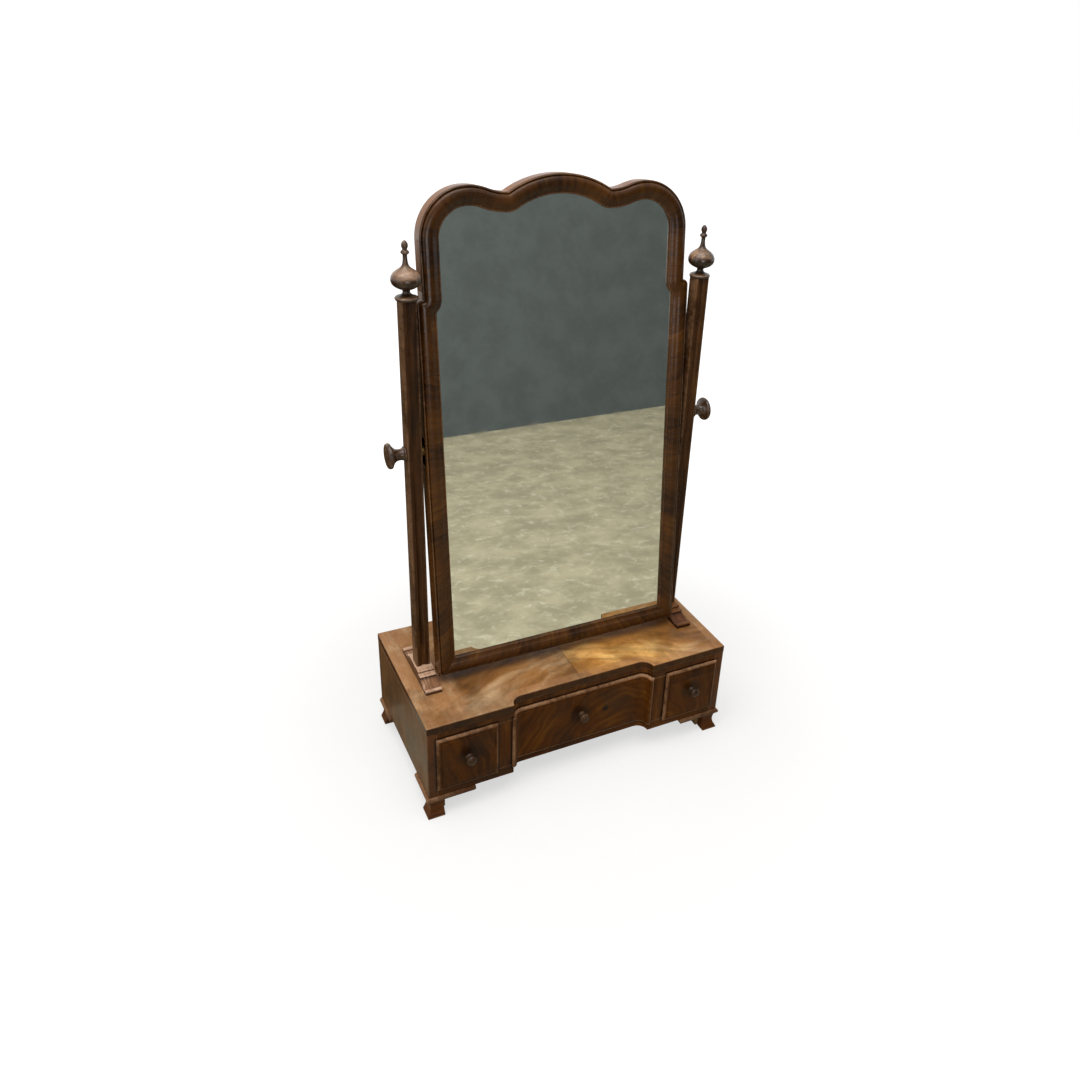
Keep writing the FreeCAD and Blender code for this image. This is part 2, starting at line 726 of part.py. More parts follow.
# Shoes, uprights and finials
def shoe(label, x):
    """Scrolled foot of an upright, stepped down to a rounded nose at both ends."""
    body = doc.addObject("PartDesign::Body", label)
    profile = new_sketch(body, "YZ_Plane")
    ends = [(f"{out} * Sizes.shoe_half_length", f"{up} * Sizes.shoe_height")
            for out, up in SHOE_SHARES]
    behind = [("Layout.shoe_seat", "Sizes.shoe_height"), *ends]
    before = [(f"-({out})", up) for out, up in reversed(behind)]
    draw_outline(profile, [*reversed(behind), *reversed(before)])
    pad(body, profile, "Sizes.shoe_width", side="Symmetric")
    mortise = new_sketch(body, "XY_Plane")
    half = "Sizes.tenon_width / 2 + Sizes.wood_fit"
    draw_outline(mortise, rectangle(f"-({half})", f"-({half})", half, half))
    pocket_through(body, mortise)
    set_place(body, x, "Layout.upright_y", "Layout.box_top")
    keep(body, label)


def upright(label, x):
    """Square post with a flute down its front, a tenon, a pivot hole and a finial socket."""
    body = doc.addObject("PartDesign::Body", label)
    section = new_sketch(body, "XY_Plane")
    half, flute = "Layout.upright_half", "Sizes.flute_width / 2"
    draw_outline(section, [
        (f"-{half}", half),
        (f"-{half}", f"-{half}"),
        (f"-({flute})", f"-{half}"),
        (flute, f"-{half}", "Sizes.flute_radius", -1),
        (half, f"-{half}"),
        (half, half),
    ])
    pad(body, section, "Sizes.upright_length")
    tenon = new_sketch(body, "XY_Plane")
    tenon_half = "Sizes.tenon_width / 2"
    draw_outline(tenon, rectangle(f"-{tenon_half}", f"-{tenon_half}", tenon_half, tenon_half))
    pad(body, tenon, "Sizes.shoe_height", backwards=True)
    pivot = new_sketch(body, "YZ_Plane")
    draw_circle(pivot, "0", "Sizes.pivot_above_box - Sizes.shoe_height", "Layout.screw_hole")
    pocket_through(body, pivot)
    socket = new_sketch(body, "XY_Plane", "Sizes.upright_length")
    draw_circle(socket, "0", "0", "Sizes.dowel_radius + Sizes.wood_fit")
    pocket_down(body, socket, "Sizes.dowel_length")
    set_place(body, x, "Layout.upright_y", "Layout.upright_base")
    keep(body, label)


def finial(label, x):
    """Onion finial on a round cap, with a dowel that enters the upright."""
    dowel, length = "Sizes.dowel_radius", "-Sizes.dowel_length"
    head = scaled_profile(FINIAL_SHARES, "Sizes.finial_radius", "Sizes.finial_height")
    body = turned(label, [("0", length), (dowel, length), (dowel, "0"), *head])
    set_place(body, x, "Layout.upright_y", "Layout.upright_top")


# Swing pivots
def pivot_knob(label, x, quarter_turn):
    """Turned knob on the outer end of a pivot screw, bored for the screw."""
    head = scaled_profile(PIVOT_KNOB_SHARES, "Sizes.pivot_knob_radius", "Sizes.pivot_knob_length")
    bore, depth = "Sizes.screw_radius + Sizes.wood_fit", "Sizes.pivot_knob_bore"
    body = turned(label, [(bore, "0"), *head, ("0", depth), (bore, depth)])
    turn(body, FreeCAD.Vector(0, 1, 0), quarter_turn)
    set_place(body, x, "Layout.upright_y", "Layout.pivot_z")


def pivot_screw(label, x, quarter_turn):
    """Plain brass rod from inside the knob, through the upright, into the frame."""
    rod = doc.addObject("Part::Cylinder", label)
    rod.setExpression("Radius", "Sizes.screw_radius")
    rod.setExpression("Height", "Layout.knob_seat + Sizes.pivot_knob_bore - Layout.screw_tip")
    turn(rod, FreeCAD.Vector(0, 1, 0), quarter_turn)
    set_place(rod, x, "Layout.upright_y", "Layout.pivot_z")
    keep(rod, label)


def make_posts():
    for side, sign in (("left", "-"), ("right", "")):
        quarter_turn = -90 if sign else 90
        shoe(f"{side}_shoe", f"{sign}Layout.upright_x")
        upright(f"{side}_upright", f"{sign}Layout.upright_x")
        finial(f"{side}_finial", f"{sign}Layout.upright_x")
        pivot_knob(f"{side}_pivot_knob", f"{sign}Layout.knob_seat", quarter_turn)
        pivot_screw(f"{side}_pivot_screw", f"{sign}Layout.screw_tip", quarter_turn)


# Mirror frame: its outline is a chain of tangent arcs, and every inner line of the moulding is
# that outline moved inwards, so all of them share the same centres.
def frame_half_runs(inset):
    """Right half of the frame's outline moved inwards, top middle to bottom middle.

    Each run is its end point, with the centre of its arc where it isn't straight.
    """
    wide, narrow = place("frame_lower_half"), place("frame_upper_half")
    step, ledge = wide - narrow, place("frame_step")
    top, bottom = place("frame_top"), place("frame_bottom") + inset
    cusp_x, arch_rise = place("arch_half"), size("arch_rise")
    cusp = (cusp_x, top - arch_rise)
    arch_radius = (cusp_x ** 2 + arch_rise ** 2) / (2 * arch_rise)
    arch = (0, top - arch_radius)
    shoulder_x = place("shoulder_half")
    span, rise = (shoulder_x - cusp_x) / 2, size("shoulder_rise") / 2
    wave_radius = (span ** 2 + rise ** 2) / (2 * rise)
    valley = (cusp_x, cusp[1] + wave_radius)
    crown = (shoulder_x, cusp[1] + 2 * rise - wave_radius)
    spring = cusp[1] + 2 * rise - size("corner_radius")
    corner = (shoulder_x, spring)
    lean = inset / arch_radius
    drift = inset / wave_radius
    runs = [
        ((0, top - inset), None),
        ((cusp_x - lean * cusp_x, cusp[1] - lean * (cusp[1] - arch[1])), arch),
    ]
    if inset:
        runs.append(((cusp_x, cusp[1] - inset), cusp))
    runs += [
        ((cusp_x + span + drift * span, cusp[1] + rise + drift * (rise - wave_radius)), valley),
        ((shoulder_x, cusp[1] + 2 * rise - inset), crown),
        ((narrow - inset, spring), corner),
        ((narrow - inset, ledge), None),
    ]
    if inset < step:
        if inset:
            runs.append(((narrow, ledge - inset), (narrow, ledge)))
        runs.append(((wide - inset, ledge - step), (narrow, ledge - step)))
    else:
        fall = math.sqrt(inset ** 2 - (inset - step) ** 2)
        runs.append(((wide - inset, ledge - fall), (narrow, ledge)))
    runs += [((wide - inset, bottom), None), ((0, bottom), None)]
    return runs


def frame_wire(inset, depth):
    """Closed wire of the frame's outline moved inwards, in the upright plane at a depth."""
    def point(x, z):
        return FreeCAD.Vector(x, depth, z)

    def edge(start, stop, centre, side):
        first, last = point(side * start[0], start[1]), point(side * stop[0], stop[1])
        if centre is None:
            return Part.LineSegment(first, last).toShape()
        hub = point(side * centre[0], centre[1])
        radius = (first - hub).Length
        way = ((first - hub) + (last - hub)).normalize()
        return Part.Arc(first, hub + way * radius, last).toShape()

    runs = frame_half_runs(inset)
    edges = []
    for side in (1, -1):
        for (start, _), (stop, centre) in zip(runs, runs[1:]):
            edges.append(edge(start, stop, centre, side))
    return Part.Wire(Part.__sortEdges__(edges))


def frame_slab(inset, front, back):
    """Solid plate with the frame's outline moved inwards, between two depths."""
    face = Part.Face(frame_wire(inset, front))
    return face.extrude(FreeCAD.Vector(0, back - front, 0))


def prism(corners, front, back):
    """Upright prism on a polygon of (x, z) corners."""
    points = [FreeCAD.Vector(x, front, z) for x, z in corners]
    face = Part.Face(Part.makePolygon([*points, points[0]]))
    return face.extrude(FreeCAD.Vector(0, back - front, 0))


def spring_height():
    """Where the round corners of the crest start, which is also where it meets the stiles."""
    return place("frame_top") - size("arch_rise") + size("shoulder_rise") - size("corner_radius")


def whole_frame():
    """The four members of the frame in one.

    A blank with a lower bead round its outer edge, less the opening, the slope that leads down
    to the glass and the rebate behind.
    """
    front, rear, sight = place("frame_front"), place("frame_rear"), place("sight_plane")
    width, past = size("moulding_width"), size("overrun")
    face = frame_slab(size("bead_width"), front, rear)
    blank = frame_slab(0, place("bead_front"), rear).fuse(face)
    opening = frame_slab(width, front - past, rear + past)
    slope_wires = [frame_wire(width - size("slope_width"), front),
                   frame_wire(width, sight - size("sight_edge"))]
    slope = Part.makeLoft(slope_wires, True, True)
    rebate = frame_slab(place("rebate_inset"), sight, rear + past)
    return blank.cut(opening).cut(slope).cut(rebate)


def nail_places():
    """Where the backboard's nails stand, as (x, z), midway between outline and rebate."""
    margin = place("rebate_inset") / 2
    bottom, spring = place("frame_bottom"), spring_height()
    width = place("frame_lower_half")
    spots = []
    for share in STILE_NAIL_SHARES:
        height = bottom + share * (spring - bottom)
        half = width if height < place("frame_step") else place("frame_upper_half")
        spots += [(half - margin, height), (margin - half, height)]
    for share in RAIL_NAIL_SHARES:
        spots.append((share * width, bottom + margin))
        cusp = place("frame_top") - size("arch_rise")
        spots.append((math.copysign(place("arch_half"), share), cusp - margin))
    return spots


def nail_shafts(extra):
    """Straight shafts of all the nails, thickened by a fit where they are used as holes."""
    start = place("frame_rear") - size("nail_bite") - extra
    length = size("nail_bite") + size("backboard_thickness") + extra
    along = FreeCAD.Vector(0, 1, 0)
    return [Part.makeCylinder(size("nail_radius") + extra, length, FreeCAD.Vector(x, start, z), along)
            for x, z in nail_places()]


def swing(piece):
    """Lean a piece of the mirror back about the pivot axis."""
    pivot = FreeCAD.Vector(0, place("upright_y"), place("pivot_z"))
    lean = FreeCAD.Rotation(FreeCAD.Vector(1, 0, 0), -size("mirror_tilt"))
    piece.Placement = FreeCAD.Placement(FreeCAD.Vector(0, 0, 0), lean, pivot)


def mirror_piece(label, shape):
    piece = doc.addObject("Part::Feature", label)
    piece.Shape = shape
    swing(piece)
    keep(piece, label)


def pivot_recess(side):
    """Room in a stile's edge for the nut plate and the tip of the screw."""
    y, z = place("upright_y"), place("pivot_z")
    edge = side * place("frame_lower_half")
    fit = size("wood_fit")
    length, width = size("nut_plate_length"), size("nut_plate_width")
    depth = size("nut_plate_thickness") + size("overrun")
    low_x = min(edge - side * size("nut_plate_thickness"), edge + side * size("overrun"))
    corner = FreeCAD.Vector(low_x, y - width / 2 - fit, z - length / 2 - fit)
    plate = Part.makeBox(depth, width + 2 * fit, length + 2 * fit, corner)
    reach = size("screw_grip") + size("screw_tip_gap")
    hole = Part.makeCylinder(place("screw_hole") + fit, reach, FreeCAD.Vector(edge, y, z),
                             FreeCAD.Vector(-side, 0, 0))
    return [plate, hole]


def make_frame():
    frame = whole_frame().cut(Part.makeCompound(nail_shafts(size("wood_fit"))))
    past, width = size("overrun"), size("moulding_width")
    front, rear = place("frame_front") - past, place("frame_rear") + past
    wide, bottom, joint = place("frame_lower_half"), place("frame_bottom"), spring_height()
    inner = place("frame_upper_half") - width - past
    rail = prism([(-wide, bottom), (wide, bottom), (wide - width, bottom + width),
                  (width - wide, bottom + width)], front, rear)
    mirror_piece("frame_bottom_rail", frame.common(rail))
    top = place("frame_top") + past
    crest = prism([(-wide, joint), (wide, joint), (wide, top), (-wide, top)], front, rear)
    mirror_piece("frame_crest", frame.common(crest))
    for name, side in (("left", -1), ("right", 1)):
        corners = [(wide, bottom), (wide + past, bottom), (wide + past, joint), (inner, joint),
                   (inner, bottom + width), (wide - width, bottom + width)]
        member = prism([(side * x, z) for x, z in corners], front, rear)
        stile = frame.common(member).cut(Part.makeCompound(pivot_recess(side)))
        mirror_piece(f"frame_{name}_stile", stile)


def make_glass():
    sight, rear = place("sight_plane"), place("frame_rear")
    inset = place("rebate_inset") + size("glass_gap")
    back = sight + size("glass_thickness")
    mirror_piece("mirror_glass", frame_slab(inset, sight, back))
    panel = frame_slab(size("backboard_inset"), rear, rear + size("backboard_thickness"))
    panel = panel.cut(Part.makeCompound(nail_shafts(size("wood_fit"))))
    mirror_piece("mirror_backboard", panel)
    heads = []
    for x, z in nail_places():
        seat = FreeCAD.Vector(x, rear + size("backboard_thickness"), z)
        heads.append(Part.makeCylinder(size("nail_head_radius"), size("nail_head_thickness"), seat,
                                       FreeCAD.Vector(0, 1, 0)))
    nails = [head.fuse(shaft) for head, shaft in zip(heads, nail_shafts(0))]
    mirror_piece("backboard_nails", Part.makeCompound(nails))
    make_glass_blocks(back, rear)


def make_glass_blocks(front, rear):
    """Softwood blocks in the rebate that hold the glass forwards."""
    long, thick = size("glass_block_length"), size("glass_block_width")
    inset, bottom = place("rebate_inset"), place("frame_bottom")
    wall = place("frame_lower_half") - inset
    run = place("frame_step") - bottom - size("moulding_width")
    blocks = []
    for share in STILE_BLOCK_SHARES:
        low = bottom + inset + share * run - long / 2
        for x in (wall - thick, -wall):
            corner = FreeCAD.Vector(x, front, low)
            blocks.append(Part.makeBox(thick, rear - front, long, corner))
    for share in RAIL_BLOCK_SHARES:
        corner = FreeCAD.Vector(share * wall - long / 2, front, bottom + inset)
        blocks.append(Part.makeBox(long, rear - front, thick, corner))
    mirror_piece("glass_blocks", Part.makeCompound(blocks))


def nut_plate(label, sign):
    """Brass plate let into the frame's edge, with a boss that meets the upright."""
    reach = "Layout.upright_inner - Sizes.nut_boss_gap"
    inner = "Layout.frame_lower_half - Sizes.nut_plate_thickness"
    quarter_turn = -90 if sign else 90
    low_x, high_x = f"{sign}({inner})", f"{sign}Layout.frame_lower_half"
    if sign:
        low_x, high_x = high_x, low_x
    plate = make_box(f"{label}_plate",
                     (low_x, "Layout.upright_y - Sizes.nut_plate_width / 2",
                      "Layout.pivot_z - Sizes.nut_plate_length / 2"),
                     (high_x, "Layout.upright_y + Sizes.nut_plate_width / 2",
                      "Layout.pivot_z + Sizes.nut_plate_length / 2"))
    boss = doc.addObject("Part::Cylinder", f"{label}_boss")
    boss.setExpression("Radius", "Sizes.nut_boss_radius")
    bore = doc.addObject("Part::Cylinder", f"{label}_bore")
    bore.setExpression("Radius", "Layout.screw_hole")
    for rod, extra in ((boss, "0"), (bore, "Sizes.overrun")):
        rod.setExpression("Height", f"{reach} - ({inner}) + 2 * {extra}")
        turn(rod, FreeCAD.Vector(0, 1, 0), quarter_turn)
        set_place(rod, f"{sign}({inner} - {extra})", "Layout.upright_y", "Layout.pivot_z")
    body = doc.addObject("Part::Fuse", f"{label}_body")
    body.Base, body.Tool = plate, boss
    nut = doc.addObject("Part::Cut", label)
    nut.Base, nut.Tool = body, bore
    doc.recompute()
    swing(nut)
    keep(nut, label)


def check_and_write():
    """Recompute, refuse any failed object or bad solid, then write one file for each sub-part."""
    doc.recompute()
    for item in doc.Objects:
        if {"Invalid", "Error"} & set(item.State):
            raise RuntimeError(f"{item.Label} failed: {item.State}")
    for label, piece in pieces.items():
        shape = piece.Shape
        if shape.isNull() or not shape.isValid() or not shape.Solids:
            raise RuntimeError(f"{label} has no valid solid")
    os.makedirs("parts", exist_ok=True)
    for label, piece in pieces.items():
        piece.Shape.exportStep(f"parts/{label}.step")
    print(len(pieces), "sub-parts written")


make_box_boards()
make_feet()
make_drawers()
make_posts()
make_frame()
make_glass()
nut_plate("left_nut_plate", "-")
nut_plate("right_nut_plate", "")
check_and_write()
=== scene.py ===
"""Looks of a walnut dressing table mirror: a shaped glass that swings over a box of three drawers.

Metres, +Z up, front towards -Y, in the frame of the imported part.
"""

import functools
import json
import math

import bmesh
import bpy
import numpy as np
from bpy.props import FloatProperty, FloatVectorProperty, PointerProperty
from bpy.types import Operator, Panel, PropertyGroup
from mathutils import Matrix, Vector


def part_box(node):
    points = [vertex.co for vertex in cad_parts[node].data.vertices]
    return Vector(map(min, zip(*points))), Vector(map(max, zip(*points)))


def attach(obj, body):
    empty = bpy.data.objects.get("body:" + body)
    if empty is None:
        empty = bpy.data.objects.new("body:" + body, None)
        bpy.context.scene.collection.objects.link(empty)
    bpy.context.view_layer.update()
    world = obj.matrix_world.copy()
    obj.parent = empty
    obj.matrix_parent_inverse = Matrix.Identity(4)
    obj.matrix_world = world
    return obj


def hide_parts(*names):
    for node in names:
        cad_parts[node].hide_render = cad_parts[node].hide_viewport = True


bl_info = {
    "name": "Dressing table mirror",
    "version": (1, 0, 0),
    "blender": (4, 5, 0),
    "location": "View3D > Sidebar > Dressing mirror",
    "description": "Builds the visible pieces and finishes of a walnut dressing table mirror",
    "category": "Object",
}

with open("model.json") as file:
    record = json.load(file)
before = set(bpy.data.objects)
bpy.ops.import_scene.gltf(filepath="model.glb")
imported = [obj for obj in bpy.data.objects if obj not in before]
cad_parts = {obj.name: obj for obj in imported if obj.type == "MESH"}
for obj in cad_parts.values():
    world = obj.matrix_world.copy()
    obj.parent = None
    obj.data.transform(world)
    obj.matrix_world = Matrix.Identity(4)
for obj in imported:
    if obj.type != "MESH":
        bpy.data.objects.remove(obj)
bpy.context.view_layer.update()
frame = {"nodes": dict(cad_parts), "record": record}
BODY_OF = {node: body for body, nodes in frame["record"]["behaviour"]["bodies"].items() for node in nodes}
MM = 0.001
QUARTER = math.pi / 2
NOT_WORN = 0.01      # distance from a worn edge that no wear reaches
SAME_POINT = 2e-6    # points nearer to each other than this become one
NO_LENGTH = 1e-7     # edges shorter than this are taken out


# Properties that a user would change

def length(name, text, default):
    return FloatProperty(name=name, description=text, default=default, unit="LENGTH", precision=5)


def tone(name, text, code):
    """Colour property from a six figure display code, kept as linear light."""
    parts = np.array([int(code[i:i + 2], 16) for i in (0, 2, 4)]) / 255
    linear = np.where(parts <= 0.04045, parts / 12.92, ((parts + 0.055) / 1.055) ** 2.4)
    return FloatVectorProperty(name=name, description=text, subtype="COLOR", size=3, min=0, max=1,
                               default=tuple(float(v) for v in linear))


# What each wood is used for, and the codes of its tones
WOODS = {
    "top": ("the top board", "5E3A1C", "A06D3A", "CDA77C"),
    "front": ("the drawer fronts", "3A1D07", "5A310B", "794812"),
    "side": ("the end panels", "482E16", "664423", "80592F"),
    "frame": ("the mirror frame", "2A1505", "502E0C", "663E12"),
    # The right shoe takes these darker tones as painted shade
    "foot": ("the feet and the right shoe", "42200A", "623612", "86552B"),
    "turning": ("the finials and pivot knobs", "2A180B", "4C321D", "8A6A4A"),
    "post": ("the uprights", "321C0B", "4E2F15", "6C4723"),
    "shoe": ("the left shoe", "7A5338", "946848", "D6B092"),
    "knob": ("the drawer knobs", "26150A", "422913", "60401F"),
    "lining": ("the linings and back boards", "84653F", "A98457", "C2A176"),
}
TONES = {"dark": "Dark figure", "middle": "Main colour", "light": "Light figure"}


def wood_tones():
    """Colour properties of every wood, one for each tone."""
    return {f"{wood}_{part}": tone(f"{wood} {part}".capitalize(), f"{use} of {thing}", code)
            for wood, (thing, *codes) in WOODS.items()
            for (part, use), code in zip(TONES.items(), codes)}


class CaseSizes(PropertyGroup):
    """Sizes of the drawer box that its CAD boxes don't give."""
    recess_half: length("Recess half width", "Half the width of the recess at the front", 0.103)
    recess_depth: length("Recess depth", "Depth of the recess, and radius of its hollow ends", 0.015)
    top_round: length("Top edge round", "Radius worn on the edges of the top board", 0.0011)
    board_round: length("Board edge round", "Radius on the edges of the plain boards", 0.0004)
    foot_wing_base: length("Wing base", "Height of the underside of a foot's wing", 0.025)
    foot_leg: length("Foot leg", "Width of a foot's leg", 0.0205)


class MirrorSizes(PropertyGroup):
    """Outline, section and place of the swinging frame, before it leans back."""
    lower_half: length("Lower half width", "Half the frame's width below the finials", 0.1766)
    upper_half: length("Upper half width", "Half the frame's width beside the finials", 0.1696)
    bottom: length("Bottom", "Height of the frame's lower edge", 0.159)
    top: length("Top", "Height of the middle of the crest", 0.7785)
    step: length("Step", "Height at which the frame narrows", 0.648)
    arch_half: length("Arch half width", "Half the width of the middle arch", 0.065018)
    arch_rise: length("Arch rise", "Height of the middle arch over the valleys", 0.0185)
    corner_radius: length("Corner radius", "Radius of the upper corners", 0.0575)
    shoulder_rise: length("Shoulder rise", "Height of the shoulders over the valleys", 0.0085)
    sight_plane: length("Sight plane", "Depth of the front of the glass", 0.0069)
    pivot_depth: length("Pivot depth", "Depth of the swing axis", 0.0131)
    pivot_height: length("Pivot height", "Height of the swing axis", 0.4685)
    lean: FloatProperty(name="Lean", description="Angle by which the mirror leans back",
                        default=math.radians(5), subtype="ANGLE")


class Finishes(PropertyGroup):
    """Colours of the woods, the metals and the glass."""
    __annotations__ = wood_tones()
    band_middle: tone("Banding", "Main colour of the crossbanding on the top board", "B68458")
    burr_middle: tone("Burr middle", "Main colour at the right of the top board", "C98A42")
    burr_light: tone("Burr light", "Golden figure at the right of the top board", "FFC978")
    frame_side: tone("Frame side", "Plain wood of the frame's outer sides", "84501F")
    # Also the painted highlight on the upper drawer lips and along the frame's beads
    worn: tone("Worn edge", "Colour of edges where the polish has worn", "A67F5E")
    brass: tone("Brass", "Old brass of the pivots", "6F5730")
    iron: tone("Iron", "Old iron of the nails", "3A3430")
    silvering: tone("Silvering", "Tint of the looking glass", "D9DBD2")


class StageSettings(PropertyGroup):
    """Floor, studio cards and lights."""
    floor: tone("Floor", "Pale floor", "A3A29F")
    card: tone("Floor card", "Beige card in front, seen only in the glass", "D6CCB0")
    back_card: tone("Back card", "Brown card behind, seen only in polished faces", "6A5740")
    screen: tone("Screen", "Grey screen in front, seen only in the glass", "8B9394")
    key_power: FloatProperty(name="Key power", description="Power of the overhead light",
                             default=58.0, unit="POWER")
    fill_power: FloatProperty(name="Fill power", description="Power of the light from the left",
                              default=10.0, unit="POWER")


# Shapes: every one is a stack of rings or a grid, worked out as whole arrays

def points(*parts):
    """Points of two or more coordinates, each spread over the shape that they have in common."""
    return np.stack(np.broadcast_arrays(*parts), axis=-1)


def arc(centre, radius, start, stop, count):
    """Points at equal angles on a circle, from one angle to another in degrees."""
    angle = np.radians(np.linspace(start, stop, count))
    return points(centre[0] + radius * np.cos(angle), centre[1] + radius * np.sin(angle))


def rounded_rectangle(low, high, radius, count=4):
    """Anticlockwise rectangle whose corners are quarter circles."""
    (a, b), (c, d) = low + radius, high - radius
    corners = ((a, b), (c, b), (c, d), (a, d))
    return np.concatenate([arc(corner, radius, start, start + 90, count)
                           for corner, start in zip(corners, (180, 270, 0, 90))])


def inset_outline(outline, insets):
    """Closed anticlockwise outline moved inwards: every corner runs along its mitre line.

    The mitre is the sum of the two edge normals over one plus their product.
    """
    edge = np.roll(outline, -1, axis=0) - outline
    normal = points(-edge[:, 1], edge[:, 0]) / np.linalg.norm(edge, axis=1)[:, None]
    before = np.roll(normal, 1, axis=0)
    mitre = (normal + before) / (1 + (normal * before).sum(axis=1))[:, None]
    return outline[None] + np.asarray(insets)[:, None, None] * mitre[None]


def smooth_through(knots, count):
    """Curve through some points, cubic between each two with the slope of their neighbours."""
    knots = np.asarray(knots, float)
    ends = np.concatenate([2 * knots[:1] - knots[1:2], knots, 2 * knots[-1:] - knots[-2:-1]])
    place = np.linspace(0, len(knots) - 1, count)
    index = np.minimum(place.astype(int), len(knots) - 2)
    t = (place - index)[:, None]
    a, b, c, d = (ends[index + k] for k in range(4))
    return 0.5 * (2 * b + (c - a) * t + (2 * a - 5 * b + 4 * c - d) * t ** 2
                  + (3 * b - a - 3 * c + d) * t ** 3)


def distances(line):
    """Distance of each point from the first one, measured along the line through them."""
    return np.concatenate([[0], np.cumsum(np.linalg.norm(np.diff(line, axis=0), axis=1))])


def stack(rings, edge, across=None, along=None, closed=True):
    """Mesh of rings joined in order, each closed round, with both ends capped where closed is set.

    rings holds one ring of points for each step; edge is the distance from a worn edge of each
    step or point, or None; across and along give the surface map round and along the stack.
    """
    rows, count = rings.shape[:2]
    corner = np.arange(rows * count).reshape(rows, count)
    following = np.roll(corner, -1, axis=1)
    quads = np.stack([corner[:-1], following[:-1], following[1:], corner[1:]], axis=-1)
    caps = [corner[0, ::-1].tolist(), corner[-1].tolist()] if closed else []
    shape = {"points": rings.reshape(-1, 3), "faces": quads.reshape(-1, 4).tolist() + caps}
    if edge is not None:
        edge = edge if edge.ndim == 2 else edge[:, None]
        shape["edge"] = np.broadcast_to(edge, (rows, count)).reshape(-1)
    if across is not None:
        uv = points(along[:, None], np.append(across, 2 * across[-1] - across[-2]))
        loops = np.stack([uv[:-1, :-1], uv[:-1, 1:], uv[1:, 1:], uv[1:, :-1]], axis=2).reshape(-1, 2)
        shape["uv"] = np.concatenate([loops, uv[0, :-1][::-1], uv[-1, :-1]])
    return shape


def sheet_grid(grid, edge):
    """Open mesh over a grid of points, all at one distance from a worn edge."""
    rows, count = grid.shape[:2]
    corner = np.arange(rows * count).reshape(rows, count)
    quads = np.stack([corner[:-1, :-1], corner[:-1, 1:], corner[1:, 1:], corner[1:, :-1]], axis=-1)
    return {"points": grid.reshape(-1, 3), "faces": quads.reshape(-1, 4).tolist(),
            "edge": np.full(rows * count, edge)}


# Where x, y and z are found in an outline's two places and its height along an axis
AXES = {"X": [2, 0, 1], "Y": [0, 2, 1], "Z": [0, 1, 2]}


def slab(outline, axis, low, high, rim, flats=((0.0025, 0.0025),)):
    """Board of a closed outline between two heights along an axis, its rims rounded.

    Each ring is the outline moved inwards by a quarter circle's inset; further rings on the
    flats, each an inset and a value, carry the distance from the edge. The outline is a list of
    points, or a function that gives the moved outline for each inset.
    """
    turn = np.radians(np.linspace(0, 90, 4))
    inset, rise = rim * (1 - np.sin(turn)), rim * (1 - np.cos(turn))
    band, value = flats[0]
    levels = [(rim + i, low, v) for i, v in reversed(flats)]
    levels += [(i, low + r, 0) for i, r in zip(inset, rise)]
    if high - low > 2 * (rim + band) * 1.1:
        levels += [(0, low + rim + band, value), (0, high - rim - band, value)]
    levels += [(i, high - r, 0) for i, r in zip(inset[::-1], rise[::-1])]
    levels += [(rim + i, high, v) for i, v in flats]
    insets, height, edge = np.array(levels).T
    plan = outline(insets) if callable(outline) else inset_outline(outline, insets)
    return stack(points(plan[..., 0], plan[..., 1], height[:, None])[..., AXES[axis]], edge)


def block(low, high, axis, rim):
    """Plain board between two corners, with every edge rounded."""
    index = "XYZ".index(axis)
    near, far = (np.delete(np.array(corner), index) for corner in (low, high))

    def plan(insets):
        return np.stack([rounded_rectangle(near + i, far - i, max(rim - i, 1e-6)) for i in insets])

    return slab(plan, axis, low[index], high[index], rim)


def turning(profile, base, axis, steps):
    """Profile of radius and height turned about an axis through a base point."""
    angle = np.linspace(0, 2 * math.pi, steps, endpoint=False)
    radius, height = profile[:, :1], profile[:, 1:]
    unturned = points(radius * np.cos(angle), radius * np.sin(angle), height)
    spin = np.array(Vector((0, 0, 1)).rotation_difference(Vector(axis)).to_matrix())
    return stack(unturned @ spin.T + np.asarray(base), None)


def join(*shapes):
    """Several shapes in one."""
    starts = np.cumsum([0] + [len(s["points"]) for s in shapes[:-1]])
    return {"points": np.concatenate([s["points"] for s in shapes]),
            "faces": [[i + start for i in face] for s, start in zip(shapes, starts) for face in s["faces"]],
            "edge": np.concatenate([s["edge"] for s in shapes])}


def make_piece(name, shape, material, slot, *nodes, sharp=38):
    """Object from a shape: doubles merged, faces turned outwards, riding on its nodes' body."""
    mesh = bpy.data.meshes.new(name)
    mesh.from_pydata(shape["points"].tolist(), [], shape["faces"])
    if "uv" in shape:
        layer = mesh.uv_layers.new(name="Veneer")
        layer.data.foreach_set("uv", shape["uv"].astype(np.float32).ravel())
    for mark in ("edge", "shade"):
        if mark in shape:
            layer = mesh.attributes.new(mark, "FLOAT", "POINT")
            layer.data.foreach_set("value", shape[mark].astype(np.float32))
    clean = bmesh.new()
    clean.from_mesh(mesh)
    bmesh.ops.remove_doubles(clean, verts=clean.verts, dist=SAME_POINT)
    bmesh.ops.dissolve_degenerate(clean, edges=clean.edges, dist=NO_LENGTH)
    bmesh.ops.recalc_face_normals(clean, faces=clean.faces)
    clean.to_mesh(mesh)
    clean.free()
    mesh.shade_smooth()
    mesh.set_sharp_from_angle(angle=math.radians(sharp))
    mesh.materials.append(material)
    piece = bpy.data.objects.new(name, mesh)
    bpy.context.scene.collection.objects.link(piece)
    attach(piece, BODY_OF[nodes[0]])
    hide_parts(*nodes)


def dress(node, material):
    """Give a CAD node its finish."""
    piece = frame["nodes"][node]
    piece.data.materials.clear()
    piece.data.materials.append(material)


# Finishes: shared effects are node groups, and the shader stays in each material

